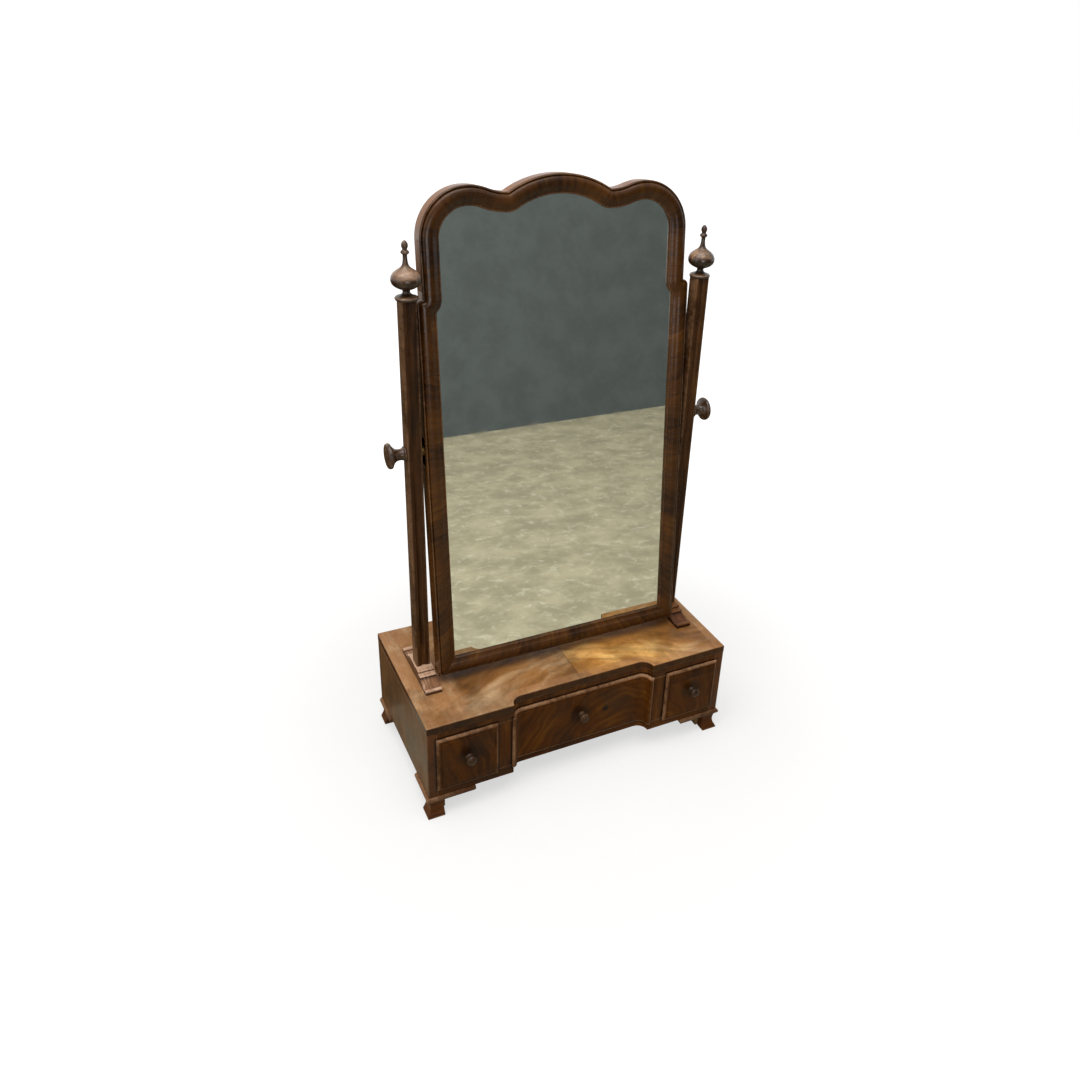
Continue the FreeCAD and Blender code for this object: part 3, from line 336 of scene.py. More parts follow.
class Value:
    """Output of a node that takes part in sums as a number does."""

    def __init__(self, graph, socket):
        self.graph, self.socket = graph, socket

    def __add__(self, other):
        return self.graph.math("ADD", self, other)

    def __sub__(self, other):
        return self.graph.math("SUBTRACT", self, other)

    def __rsub__(self, other):
        return self.graph.math("SUBTRACT", other, self)

    def __mul__(self, other):
        return self.graph.math("MULTIPLY", self, other)

    def __truediv__(self, other):
        return self.graph.math("DIVIDE", self, other)

    def __abs__(self):
        return self.graph.math("ABSOLUTE", self)

    def span(self, low, high, start=0.0, stop=1.0):
        """Carried smoothly from one range to another and held at its ends."""
        node = self.graph.add("ShaderNodeMapRange", {"interpolation_type": "SMOOTHSTEP"})
        return self.graph.lead(node, self, low, high, start, stop)


class Graph:
    """Node tree with short ways to add nodes; most give the value that the node puts out."""

    def __init__(self, tree):
        self.tree = tree

    def feed(self, socket, value):
        """Link a value to a socket, or set a number or a colour on it."""
        if isinstance(value, Value):
            self.tree.links.new(value.socket, socket)
        elif socket.type == "RGBA" and len(value) == 3:
            socket.default_value = (*value, 1)
        else:
            socket.default_value = value

    def fill(self, node, **inputs):
        """Set or link a node's inputs by name, underscores standing for spaces."""
        for key, value in inputs.items():
            wanted = key.replace("_", " ")
            self.feed(next(s for s in node.inputs if s.enabled and s.name == wanted), value)

    def add(self, kind, settings=None, **inputs):
        """Node with its settings and inputs."""
        node = self.tree.nodes.new(kind)
        for key, value in (settings or {}).items():
            setattr(node, key, value)
        self.fill(node, **inputs)
        return node

    def value(self, node, name=None):
        """Named output of a node, or the first one in use."""
        return Value(self, next(s for s in node.outputs if s.enabled and name in (None, s.name)))

    def lead(self, node, *values, output=None):
        """Set or link a node's inputs in order, and give its output."""
        for socket, value in zip(node.inputs, values):
            self.feed(socket, value)
        return self.value(node, output)

    def math(self, operation, *values, clamp=False):
        node = self.add("ShaderNodeMath", {"operation": operation, "use_clamp": clamp})
        return self.lead(node, *values)

    def vector(self, operation, *values, output="Vector"):
        return self.lead(self.add("ShaderNodeVectorMath", {"operation": operation}), *values, output=output)

    def parts(self, vector):
        """The three parts of a vector."""
        return [Value(self, socket) for socket in self.add("ShaderNodeSeparateXYZ", Vector=vector).outputs]

    def joined(self, x, y, z):
        """Vector of three parts."""
        return self.value(self.add("ShaderNodeCombineXYZ", X=x, Y=y, Z=z))

    def turned(self, vector, angles=(0, 0, 0), shift=(0, 0, 0)):
        """Vector turned by angles in degrees, then moved."""
        return self.value(self.add("ShaderNodeMapping", Vector=vector, Location=shift,
                                   Rotation=[math.radians(angle) for angle in angles]))

    def flat_distance(self, vector, spot):
        """Distance from a spot, measured across the front."""
        return self.vector("DISTANCE", self.vector("MULTIPLY", vector, (1, 0, 1)), spot, output="Value")

    def noise(self, vector, scale, detail=3.0, rough=0.55, twist=0.0, output=None):
        return self.value(self.add("ShaderNodeTexNoise", Vector=vector, Scale=scale, Detail=detail,
                                   Roughness=rough, Distortion=twist), output)

    def wave(self, vector, scale, twist, detail, detail_scale):
        return self.value(self.add("ShaderNodeTexWave", {"bands_direction": "Y"}, Vector=vector, Scale=scale,
                                   Distortion=twist, Detail=detail, Detail_Scale=detail_scale))

    def blend(self, factor, first, second, kind="MIX"):
        node = self.add("ShaderNodeMix", {"data_type": "RGBA", "blend_type": kind})
        for identifier, value in (("Factor_Float", factor), ("A_Color", first), ("B_Color", second)):
            self.feed(next(s for s in node.inputs if s.identifier == identifier), value)
        return Value(self, next(s for s in node.outputs if s.identifier == "Result_Color"))

    def dimmed(self, colour, level):
        """Colour times a level."""
        grey = self.value(self.add("ShaderNodeCombineColor", Red=level, Green=level, Blue=level))
        return self.blend(1.0, colour, grey, "MULTIPLY")

    def mark(self, name):
        """Value that the mesh keeps on its points."""
        return self.value(self.add("ShaderNodeAttribute", {"attribute_name": name}), "Fac")

    def seen(self):
        """One for what the camera sees, straight or in polished faces and glass."""
        rays = self.add("ShaderNodeLightPath")
        direct, glossy, through = (self.value(rays, f"Is {kind} Ray")
                                   for kind in ("Camera", "Glossy", "Transmission"))
        return self.math("ADD", direct + glossy, through, clamp=True)

    def effect(self, recipe, **inputs):
        """Shared effect as a group node; returns its outputs by name."""
        node = self.add("ShaderNodeGroup", {"node_tree": shared_group(recipe)}, **inputs)
        return {socket.name: Value(self, socket) for socket in node.outputs}


SOCKETS = {"vector": "NodeSocketVector", "colour": "NodeSocketColor"}


def recipe_of(**inputs):
    """Mark a function as the recipe of a shader group; an input is of a kind or has a default value."""
    def mark(recipe):
        recipe.inputs = inputs
        return recipe
    return mark


def shared_group(recipe):
    """Shader group of a recipe, built the first time that it is asked for."""
    name = recipe.__name__.replace("_", " ").capitalize()
    if name in bpy.data.node_groups:
        return bpy.data.node_groups[name]
    tree = bpy.data.node_groups.new(name, "ShaderNodeTree")
    for label, kind in recipe.inputs.items():
        socket = tree.interface.new_socket(label, in_out="INPUT",
                                           socket_type=SOCKETS.get(kind, "NodeSocketFloat"))
        if kind not in SOCKETS:
            socket.default_value = kind
    graph = Graph(tree)
    made = recipe(graph, {s.name: Value(graph, s) for s in graph.add("NodeGroupInput").outputs})
    for label in made:
        kind = "NodeSocketColor" if label == "Colour" else "NodeSocketFloat"
        tree.interface.new_socket(label, in_out="OUTPUT", socket_type=kind)
    graph.add("NodeGroupOutput", **made)
    return tree


@recipe_of(Vector="vector", Dark="colour", Middle="colour", Light="colour", Streaks=22.0, Draw=0.14,
           Warp=0.03, Bands=0.35, Fibre=0.3)
def wood_figure(graph, given):
    """Figured timber whose grain runs along X of the vector: streaks, growth bands, fibre, pores.

    Streaks are noise drawn out along the grain and bent by a slow warp; bands are a distorted
    wave in the same bent space; fibre and pores are much finer noise.
    """
    slow = graph.noise(given["Vector"], 6.0, 2.0, output="Color")
    bend = graph.add("ShaderNodeVectorMath", {"operation": "SCALE"}, Scale=given["Warp"],
                     Vector=graph.vector("SUBTRACT", slow, (0.5, 0.5, 0.5)))
    bent = graph.vector("ADD", given["Vector"], graph.value(bend))
    drawn = graph.vector("MULTIPLY", bent, graph.joined(given["Draw"], 1.0, 1.0))
    streaks = graph.noise(drawn, given["Streaks"], 5.0, 0.62)
    rings = graph.wave(drawn, given["Streaks"] * 1.1, twist=7.0, detail=3.0, detail_scale=1.6)
    level = (streaks * (1.0 - given["Bands"]) + rings * given["Bands"]).span(0.22, 0.80)
    lower = graph.blend(level.span(0.0, 0.5), given["Dark"], given["Middle"])
    colour = graph.blend(level.span(0.5, 1.0), lower, given["Light"])
    fibre = graph.noise(graph.vector("MULTIPLY", bent, (0.035, 1.0, 1.0)), 1000.0, 2.0)
    pores = graph.noise(graph.vector("MULTIPLY", bent, (0.06, 1.0, 1.0)), 1700.0, 1.0)
    strand, hole = fibre.span(0.30, 0.70), pores.span(0.60, 0.70)
    pore_dark, strand_high = 0.45, 0.4
    dim = (1.0 - given["Fibre"] * (1.0 - strand)) * (1.0 - hole * pore_dark)
    return {"Colour": graph.dimmed(colour, dim), "Height": strand * strand_high - hole}


@recipe_of(Vector="vector", Colour="colour", Worn="colour", Edge=1.0, Wear=0.5, Reach=0.002, Grime=0.35,
           Gloss=0.35)
def patina(graph, given):
    """Age of a polished surface: worn edges, dark grime, dull and bright patches of wax.

    Wear is strongest where the distance from an edge is nil and is broken up by noise.
    """
    patch = graph.noise(given["Vector"], 18.0, 4.0, 0.6)
    speck = graph.noise(given["Vector"], 160.0, 3.0, 0.6)
    near = (given["Edge"] / given["Reach"]).span(0.0, 1.0, 1.0, 0.0)
    broken = (patch + speck * 0.5).span(0.50, 0.95)
    worn = graph.math("MULTIPLY", near * broken, given["Wear"], clamp=True)
    clean = 1.0 - patch.span(0.55, 0.35) * given["Grime"]
    patch_rough, speck_rough = 0.35, 0.12
    rough = given["Gloss"] + (patch - 0.5) * patch_rough + (speck - 0.5) * speck_rough
    return {"Colour": graph.blend(worn, graph.dimmed(given["Colour"], clean), given["Worn"]),
            "Roughness": rough, "Wax": patch.span(0.25, 0.75, 0.16, 0.02)}


@recipe_of(Along=0.0, Length=0.09)
def veneer_lengths(graph, given):
    """Short lengths of veneer laid side by side: a tone for each length and a thin joint line."""
    place = given["Along"] / given["Length"]
    index, inside = graph.math("FLOOR", place), graph.math("FRACT", place)
    chance = graph.add("ShaderNodeTexWhiteNoise", {"noise_dimensions": "1D"}, W=index)
    edge = graph.math("MINIMUM", inside, 1.0 - inside) * given["Length"]
    step = 0.37
    return {"Tone": graph.value(chance, "Value"), "Joint": edge.span(0.0001, 0.0007, 1.0, 0.0),
            "Shift": index * step}


@recipe_of(Vector="vector")
def drawer_gaps(graph, given):
    """Dark painted shadow line on the case's face round each drawer: distance from the rectangle of its lip.
    """
    x, _, z = graph.parts(given["Vector"])
    lines = []
    for name in ("right", "centre"):
        low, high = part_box(f"{name}_drawer_front")
        beyond = [abs(place - (near + far) / 2) - (far - near) / 2
                  for place, near, far in ((abs(x), low.x, high.x), (z, low.z, high.z))]
        lines.append(graph.math("MAXIMUM", *beyond).span(0.0004, 0.0036, 0.9, 0.0))
    return {"Line": graph.math("MAXIMUM", *lines)}


GAP_COLOUR = (0.004, 0.002, 0.001)      # shadow round a drawer
JOINT_COLOUR = (0.008, 0.004, 0.002)    # glue between the frame's lengths of veneer
SEAM_COLOUR = (0.02, 0.01, 0.005)       # joint of the top board's two leaves
HAND_COLOUR = (0.012, 0.007, 0.004)     # dirt of hands round a knob, and the filling of a hole
SPOT_COLOUR = (0.10, 0.09, 0.07)        # spots where the silvering has gone
FLECK_COLOUR = (1.0, 0.96, 0.76)        # pale flecks on the beige card
GRAIN = {"X": (0, 0, 0), "Y": (0, 0, -90), "Z": (0, 90, 0)}


def named_material(build):
    """Builder of a named material, from a function that fills in its graph; it is made only once.

    The function is given the graph, the shader and the Object coordinates to start from.
    """
    @functools.wraps(build)
    def find(name, *values, **settings):
        if name not in bpy.data.materials:
            bpy.data.materials.new(name).use_nodes = True
            graph = Graph(bpy.data.materials[name].node_tree)
            graph.tree.nodes.clear()
            shader = graph.add("ShaderNodeBsdfPrincipled")
            graph.add("ShaderNodeOutputMaterial", Surface=graph.value(shader))
            place = graph.value(graph.add("ShaderNodeTexCoord"), "Object")
            build(graph, shader, place, *values, **settings)
        return bpy.data.materials[name]
    return find


def bump(graph, shader, height, strength, distance):
    node = graph.add("ShaderNodeBump", Strength=strength, Distance=distance, Height=height)
    graph.fill(shader, Normal=graph.value(node))


def timber(graph, vector, tones, **figure):
    """Figure of a wood along X of a vector, in the wood's three tones or in three named ones."""
    finish = bpy.context.scene.mirror_finishes
    names = [f"{tones}_{part}" for part in TONES] if isinstance(tones, str) else tones
    dark, middle, light = (getattr(finish, name) for name in names)
    return graph.effect(wood_figure, Vector=vector, Dark=dark, Middle=middle, Light=light, **figure)


def polish(graph, shader, place, colour, height, edge=False, wear=0.6, gloss=0.42, wax=True, grime=0.3,
           reach=0.002, shine=0.16, worn="worn"):
    """Lead a timber's colour through the patina to the shader, and its height to the bump."""
    worn_edge = {"Edge": graph.mark("edge")} if edge else {}
    age = graph.effect(patina, Vector=place, Colour=colour, Wear=wear, Gloss=gloss, Grime=grime, Reach=reach,
                       Worn=getattr(bpy.context.scene.mirror_finishes, worn), **worn_edge)
    graph.fill(shader, Base_Color=age["Colour"], Roughness=age["Roughness"], Specular_IOR_Level=shine)
    if wax:
        graph.fill(shader, Coat_Weight=age["Wax"], Coat_Roughness=0.2)
    bump(graph, shader, height, 0.25, 0.00025)


@named_material
def walnut(graph, shader, place, tones, grain, streaks, draw=0.14, warp=0.03, bands=0.12, fibre=0.22,
           shade=False, gap=False, **age):
    """Polished timber with its grain along an axis.

    With shade its colour is scaled by the painted shade and light level that its points carry; the gap
    setting draws painted shadow lines round the drawers.
    """
    wood = timber(graph, graph.turned(place, GRAIN[grain]), tones, Streaks=streaks, Draw=draw, Warp=warp,
                  Bands=bands, Fibre=fibre)
    colour = wood["Colour"]
    if shade:
        colour = graph.dimmed(colour, graph.mark("shade"))
    # Painted shadow round the drawers' lips
    if gap:
        colour = graph.blend(graph.effect(drawer_gaps, Vector=place)["Line"], colour, GAP_COLOUR)
    polish(graph, shader, place, colour, wood["Height"], **age)


def lining(grain, name=None, gloss=0.6):
    """Pale wood of the linings and back boards, unwaxed."""
    return walnut(name or f"Lining oak along {grain}", "lining", grain, streaks=46.0, draw=0.03, bands=0.06,
                  fibre=0.35, warp=0.02, gloss=gloss, wax=False, grime=0.18)


@named_material
def frame_veneer(graph, shader, place):
    """Cross-grained walnut in short lengths round the mirror frame, laid on the surface map.

    The frame's outer sides are plain wood, which shows fully on their upper part and fades
    into the frame's colour lower down as painted shade.
    """
    piece, joint_depth, side_end = 0.085, 0.75, 0.0176
    along, across, _ = graph.parts(graph.value(graph.add("ShaderNodeUVMap", {"uv_map": "Veneer"})))
    lengths = graph.effect(veneer_lengths, Along=along, Length=piece)
    wood = timber(graph, graph.joined(across, along, lengths["Shift"]), "frame", Streaks=26.0, Draw=0.4,
                  Warp=0.012, Bands=0.06, Fibre=0.16)
    colour = graph.dimmed(wood["Colour"], lengths["Tone"].span(0.0, 1.0, 0.88, 1.10))
    colour = graph.blend(lengths["Joint"] * joint_depth, colour, JOINT_COLOUR)
    height = graph.parts(place)[2]
    # Plain wood of the outer sides, faded towards the bottom as painted shade
    plain_side_lit = across.span(side_end - 0.0006, side_end, 0.85, 0.0) * height.span(0.56, 0.70, 0.2, 1.0)
    colour = graph.blend(plain_side_lit, colour, bpy.context.scene.mirror_finishes.frame_side)
    polish(graph, shader, place, colour, wood["Height"] - lengths["Joint"], edge=True, wear=0.4, gloss=0.26,
           reach=0.0012)


@named_material
def top_veneer(graph, shader, place):
    """Top board: two leaves opened like a book at the middle, the right one golden.

    Dark clouds and veins follow the leaves' figure. A crossbanded border runs round them and
    covers the left end, and the board's edges are dark.
    """
    finish = bpy.context.scene.mirror_finishes
    seam, next_leaf, slant = 0.0004, 0.018, 24
    gold_middle, gold_cloud, band_depth = 0.07, 0.10, 0.5
    x, y, z = graph.parts(place)
    right = x.span(-seam, seam)
    leaf = graph.turned(graph.joined(abs(x), y, z + right * next_leaf), (0, 0, slant), (0.12, 0.31, 0))
    figure = dict(Streaks=15.0, Draw=0.30, Warp=0.14, Bands=0.06, Fibre=0.2)
    brown = timber(graph, leaf, "top", **figure)
    gold = timber(graph, leaf, ("top_dark", "burr_middle", "burr_light"), **figure)
    spread = abs(x - gold_middle) + (graph.noise(place, 14.0) - 0.5) * gold_cloud
    golden = spread.span(0.03, 0.12, 1.0, 0.0) * right
    colour = graph.blend(golden, brown["Colour"], gold["Colour"])
    flow = graph.vector("MULTIPLY", leaf, (0.34, 1.0, 1.0))
    cloud = graph.noise(flow, 21.0, rough=0.5, twist=0.6).span(0.50, 0.66, 0.0, 0.5)
    colour = graph.blend(cloud * golden.span(0.0, 1.0, 1.0, 0.6), colour, finish.top_dark)
    vein = graph.wave(flow, 9.0, twist=11.0, detail=2.0, detail_scale=1.2).span(0.66, 1.0, 0.0, 0.24)
    colour = graph.blend(vein, colour, finish.front_dark)
    colour = graph.blend(abs(x).span(seam / 2, seam * 2, 0.55, 0.0), colour, SEAM_COLOUR)
    banding = timber(graph, graph.turned(place, GRAIN["Y"]), ("top_middle", "band_middle", "top_light"),
                     Streaks=30.0, Draw=0.5, Warp=0.03, Bands=0.05, Fibre=0.12)["Colour"]
    border = graph.mark("edge").span(0.0112, 0.0121, 1.0, 0.0)
    colour = graph.blend(border * band_depth, colour, banding)
    colour = graph.blend(x.span(-0.168, -0.150, 0.7, 0.0), colour, banding)
    edging = timber(graph, graph.turned(place, GRAIN["Z"]), ("front_dark", "frame_middle", "front_middle"),
                    Streaks=60.0, Draw=0.3, Warp=0.01, Bands=0.1, Fibre=0.2)["Colour"]
    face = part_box("top_board")[1].z
    colour = graph.blend(z.span(face - 0.0012, face - 0.0003, 1.0, 0.0), colour, edging)
    polish(graph, shader, place, colour, brown["Height"], edge=True, wear=0.3, gloss=0.36, grime=0.35,
           reach=0.0012, shine=0.10)


@named_material
def end_veneer(graph, shader, place):
    """End panels: upright grain, and a browner front edge with painted shadow lines round the drawers."""
    stood = graph.turned(place, (8, 90, 0))
    panel = timber(graph, stood, "side", Streaks=20.0, Draw=0.16, Warp=0.04, Bands=0.1, Fibre=0.2)
    edging = timber(graph, stood, ("front_middle", "foot_middle", "foot_light"), Streaks=40.0, Draw=0.2,
                    Warp=0.02, Bands=0.1, Fibre=0.2)
    edged = graph.blend(graph.effect(drawer_gaps, Vector=place)["Line"], edging["Colour"], GAP_COLOUR)
    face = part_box("left_end_panel")[0].y
    front = graph.parts(place)[1].span(face + 0.0003, face + 0.0012, 1.0, 0.0)
    polish(graph, shader, place, graph.blend(front, panel["Colour"], edged), panel["Height"], edge=True,
           wear=0.3, gloss=0.48, grime=0.4, reach=0.0012)


@named_material
def drawer_veneer(graph, shader, place, centre, draw, pull, hole=None):
    """Dark veneer of a drawer front, darker round its knob, with a filled hole where one is given.

    The figure curves about a centre: it reads the angle about the centre as its length and the
    distance from it as its width.
    """
    per_turn = 0.12
    sway = graph.vector("MULTIPLY", graph.noise(place, 14.0, 2.0, output="Color"), (0.05, 0.0, 0.02))
    moved = graph.turned(graph.vector("ADD", place, sway), shift=[-c for c in centre])
    x, y, z = graph.parts(moved)
    curved = graph.joined(graph.math("ARCTAN2", z, x) * per_turn, graph.flat_distance(moved, (0, 0, 0)), y)
    wood = timber(graph, curved, "front", Streaks=24.0, Draw=draw, Warp=0.05, Bands=0.09, Fibre=0.2)
    colour = wood["Colour"]
    knob = sum(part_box(pull), Vector()) / 2
    marks = [((knob.x, 0, knob.z), 0.007, 0.021, 0.6)] + ([(hole, 0.0042, 0.0052, 0.85)] if hole else [])
    for spot, inner, outer, depth in marks:
        dirt = graph.flat_distance(place, spot).span(inner, outer, depth, 0.0)
        colour = graph.blend(dirt, colour, HAND_COLOUR)
    polish(graph, shader, place, colour, wood["Height"], edge=True, wear=0.8, gloss=0.38, grime=0.35,
           reach=0.0012, shine=0.05)


@named_material
def metal(graph, shader, place, colour, gloss):
    """Old metal with dark tarnish in patches and fine scratches."""
    tarnish = graph.noise(place, 220.0, 4.0, 0.65)
    tint = graph.blend(tarnish.span(0.40, 0.65), [0.25 * c for c in colour], colour)
    graph.fill(shader, Base_Color=tint, Metallic=1.0, Roughness=tarnish.span(0.3, 0.7, gloss + 0.25, gloss))
    scratch = graph.noise(graph.vector("MULTIPLY", place, (1, 0.1, 1)), 1500.0, 2.0)
    bump(graph, shader, scratch, 0.15, 0.0001)


@named_material
def looking_glass(graph, shader, place):
    """Old silvered glass: a bright mirror with faint spots and a little dust."""
    cloud = graph.noise(place, 9.0).span(0.5, 0.75)
    spots = graph.noise(place, 320.0, 2.0, 0.5).span(0.70, 0.78) * cloud
    tint = graph.blend(spots * 0.6, bpy.context.scene.mirror_finishes.silvering, SPOT_COLOUR)
    dust = graph.noise(place, 45.0, 4.0, 0.6).span(0.45, 0.8, 0.012, 0.05)
    graph.fill(shader, Base_Color=tint, Metallic=1.0, Roughness=dust)


# Pieces

class MIRROR_OT_case(Operator):
    """Build the boards of the drawer box"""
    bl_idname = "mirror.case"
    bl_label = "Drawer box"

    def execute(self, context):
        sizes = context.scene.mirror_case
        # The rail, stiles and base board carry painted shadow lines round the drawers
        face = dict(shine=0.07, gap=True)
        rail = walnut("Rail veneer", "front", "Z", streaks=45.0, gloss=0.4, **face)
        stile = walnut("Stile veneer", "front", "Z", edge=True, streaks=40.0, gloss=0.4, **face)
        for name, node, material, slot, rim, flats in (
                ("walnut_top", "top_board", top_veneer("Walnut top veneer"), "walnut_top", sizes.top_round,
                 ((0.003, 0.003), (0.012, 0.012))),
                ("walnut_rail", "top_rail", rail, "walnut_front", 0.0002, ((0.001, 0.001),))):
            low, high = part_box(node)
            shape = slab(recessed_plan(low, high), "Z", low.z, high.z, rim, flats)
            make_piece(name, shape, material, slot, node)
        for side in ("left", "right"):
            for name, node, axis, material, slot, rim in (
                    ("end", "end_panel", "X", end_veneer("End panel walnut"), "walnut_sides", 0.0007),
                    ("stile", "front_stile", "Z", stile, "walnut_front", 0.0004),
                    ("divider", "partition", "X", lining("Y"), "lining_wood", None),
                    ("runner", "drawer_guide", "Z", lining("Y"), "lining_wood", None)):
                make_board(f"{side}_{name}", f"{side}_{node}", axis, material, slot, rim)
        make_board("back_panel", "back_board", "Y", lining("X", "Back board pine", 0.55), "lining_wood")
        dress("bottom_board", walnut("Base board walnut", "front", "X", streaks=30.0, gloss=0.5, **face))
        return {"FINISHED"}


def recessed_plan(low, high):
    """Plan of a board with the recess in its front edge, as a function of the insets.

    A hollow end is a quarter circle; moved inwards its radius grows, and it starts where it
    meets the moved front edge.
    """
    sizes = bpy.context.scene.mirror_case
    hub = sizes.recess_half - sizes.recess_depth

    def plan(insets):
        inset = insets[:, None]
        radius = sizes.recess_depth + inset
        start = np.arcsin(inset / radius)
        angle = start + np.linspace(0, 1, 14) * (QUARTER - start)
        hollow = points(hub + radius * np.cos(angle), low.y + radius * np.sin(angle))
        depth = np.concatenate([low.y + inset, high.y - inset], axis=1)
        right, left = points(high.x - inset, depth), points(low.x + inset, depth)
        return np.concatenate([left[:, ::-1], hollow * (-1, 1), hollow[:, ::-1], right], axis=1)

    return plan


def make_board(name, node, axis, material, slot, rim=None):
    """Rounded board in the place of a plain CAD one."""
    low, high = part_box(node)
    rim = rim or bpy.context.scene.mirror_case.board_round
    make_piece(name, block(low, high, axis, rim), material, slot, node)


class MIRROR_OT_feet(Operator):
    """Build the moulded bracket feet"""
    bl_idname = "mirror.feet"
    bl_label = "Bracket feet"

    def execute(self, context):
        low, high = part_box("top_board")
        for side, sign in (("left", 1), ("right", -1)):
            for node, wing, mitred, along in (
                    (f"front_{side}_foot_front", 0.063, True, "X"),
                    (f"front_{side}_foot_side", 0.052, True, "Y"),
                    (f"back_{side}_foot_side", 0.052, False, "-Y")):
                shape = bracket(wing, mitred)
                x, y, z = shape["points"].T
                place = {"X": (x - high.x, y + low.y, z), "Y": (y - high.x, x + low.y, z),
                         "-Y": (y - high.x, high.y - x, z)}[along]
                shape["points"] = points(*place) * (sign, 1, 1)
                grain = along[-1]
                material = walnut(f"Foot walnut along {grain}", "foot", grain, edge=True, gloss=0.4,
                                  streaks=45.0, draw=0.12, shine=0.08)
                make_piece(node.replace("foot", "bracket"), shape, material, "foot_wood", node, sharp=30)
            make_board(f"back_{side}_bracket", f"back_{side}_foot_back", "Y", lining("X"), "foot_wood")
        dress("foot_blocks", lining("Z"))
        return {"FINISHED"}


def bracket(wing, mitred):
    """Foot bracket, corner at the origin, wing along +X, face towards -Y.

    One ring of four corners for each height: the face follows the moulded profile, the far end
    follows the leg, the knee and the rounded nose of the wing, and a mitred end lies on x = y.
    The bead at the top and the toe are marked as worn.
    """
    sizes = bpy.context.scene.mirror_case
    base, thick, tall, knee, nose = sizes.foot_wing_base, 0.012, 0.034, 0.003, 0.006
    toe_top, bead_base, far = 0.002, 0.0265, 0.006
    face = np.concatenate([
        smooth_through([(-0.0024, 0.0), (-0.0023, 0.0015), (-0.0008, 0.0045), (0.0014, 0.009),
                        (0.0024, 0.014), (0.0022, 0.019), (0.0012, 0.0235), (0.0002, 0.0264)], 22),
        [(0.0002, 0.0267), (-0.0016, 0.0269)],
        smooth_through([(-0.0021, 0.0272), (-0.0028, 0.0284), (-0.003, 0.030), (-0.0026, 0.0320),
                        (-0.0014, 0.0333), (0.0, 0.0338)], 10),
        [(0.0, tall)],
    ])
    heights = np.unique(np.concatenate([face[:, 1], np.linspace(base - knee, base, 6),
                                        base + nose * (1 - np.cos(np.linspace(0, QUARTER, 8)))]))
    below, above = heights[heights <= base], heights[heights >= base]
    drop = np.clip(below - (base - knee), 0, knee)
    lift = np.clip(base + nose - above, 0, nose)
    end = np.concatenate([sizes.foot_leg + knee - np.sqrt(knee ** 2 - drop ** 2),
                          wing - nose + np.sqrt(nose ** 2 - lift ** 2)])
    level = np.concatenate([below, above])
    front = np.interp(level, face[:, 1], face[:, 0])
    corners = ((front * mitred, front), (end, front), (end, thick), (thick * mitred, thick))
    rings = np.stack([points(x, y, level) for x, y in corners], axis=1)
    return stack(rings, np.where((level > bead_base) | (level < toe_top), 0.0, far))


class MIRROR_OT_drawers(Operator):
    """Build the three drawers with their fronts, linings and turned knobs"""
    bl_idname = "mirror.drawers"
    bl_label = "Drawers"

    def execute(self, context):
        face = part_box("top_board")[0].y
        for side, centre, draw, hole in (("left", (-0.30, 0, 0.06), 0.3, None),
                                         ("centre", (0.09, 0, 0.02), 0.25, (0.037, 0, 0.0885)),
                                         ("right", (0.34, 0, 0.12), 0.3, None)):
            name = f"{side}_drawer"
            low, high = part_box(f"{name}_front")
            path = recess_path(face) if side == "centre" else straight_path(low.x, high.x, face)
            veneer = drawer_veneer(f"{side.capitalize()} drawer veneer", centre, draw, f"{name}_knob", hole)
            make_piece(f"{name}_face", drawer_front(name, path, low, high), veneer, "drawer_front_wood",
                       f"{name}_front", sharp=32)
            for part, axis, grain in (("left_side", "X", "Y"), ("right_side", "X", "Y"), ("back", "Y", "X"),
                                      ("bottom", "Z", "X")):
                make_board(f"{name}_{part}_board", f"{name}_{part}", axis, lining(grain), "drawer_lining")
            material = walnut("Knob walnut", "knob", "Y", streaks=80.0, gloss=0.18, wear=0.0, shine=0.22,
                              wax=False)
            make_piece(f"{name}_pull", drawer_knob(*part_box(f"{name}_knob")), material, "knob_wood",
                       f"{name}_knob", sharp=50)
        return {"FINISHED"}


def straight_path(start, stop, face):
    """Plan of a flat front as rows of distance along, x, y and facing angle."""
    place = np.linspace(start, stop, 3)
    return points(place - place.mean(), place, face, -QUARTER)


def recess_path(face, offset=0.003, overlap=0.0025):
    """Plan of the recessed front as rows of distance along, x, y and facing angle.

    The case's face is followed over the stile, round its edge, down the hollow and along the
    recess; distances are measured a little in front of it, so that the edge has a length.
    """
    sizes = bpy.context.scene.mirror_case
    half, deep = sizes.recess_half, sizes.recess_depth
    corner, hollow = np.linspace(-QUARTER, 0, 9), np.linspace(0, -QUARTER, 25)
    left = np.concatenate([
        [(-half - overlap, face, -QUARTER)],
        points(-half, face, corner),
        points(deep - half - deep * np.cos(hollow), face - deep * np.sin(hollow), hollow)[1:],
    ])
    x, y, angle = np.concatenate([left, left[::-1] * (-1, 1, -1) - (0, 0, math.pi)]).T
    along = distances(points(x + offset * np.cos(angle), y + offset * np.sin(angle)))
    return points(along - along[-1] / 2, x, y, angle)


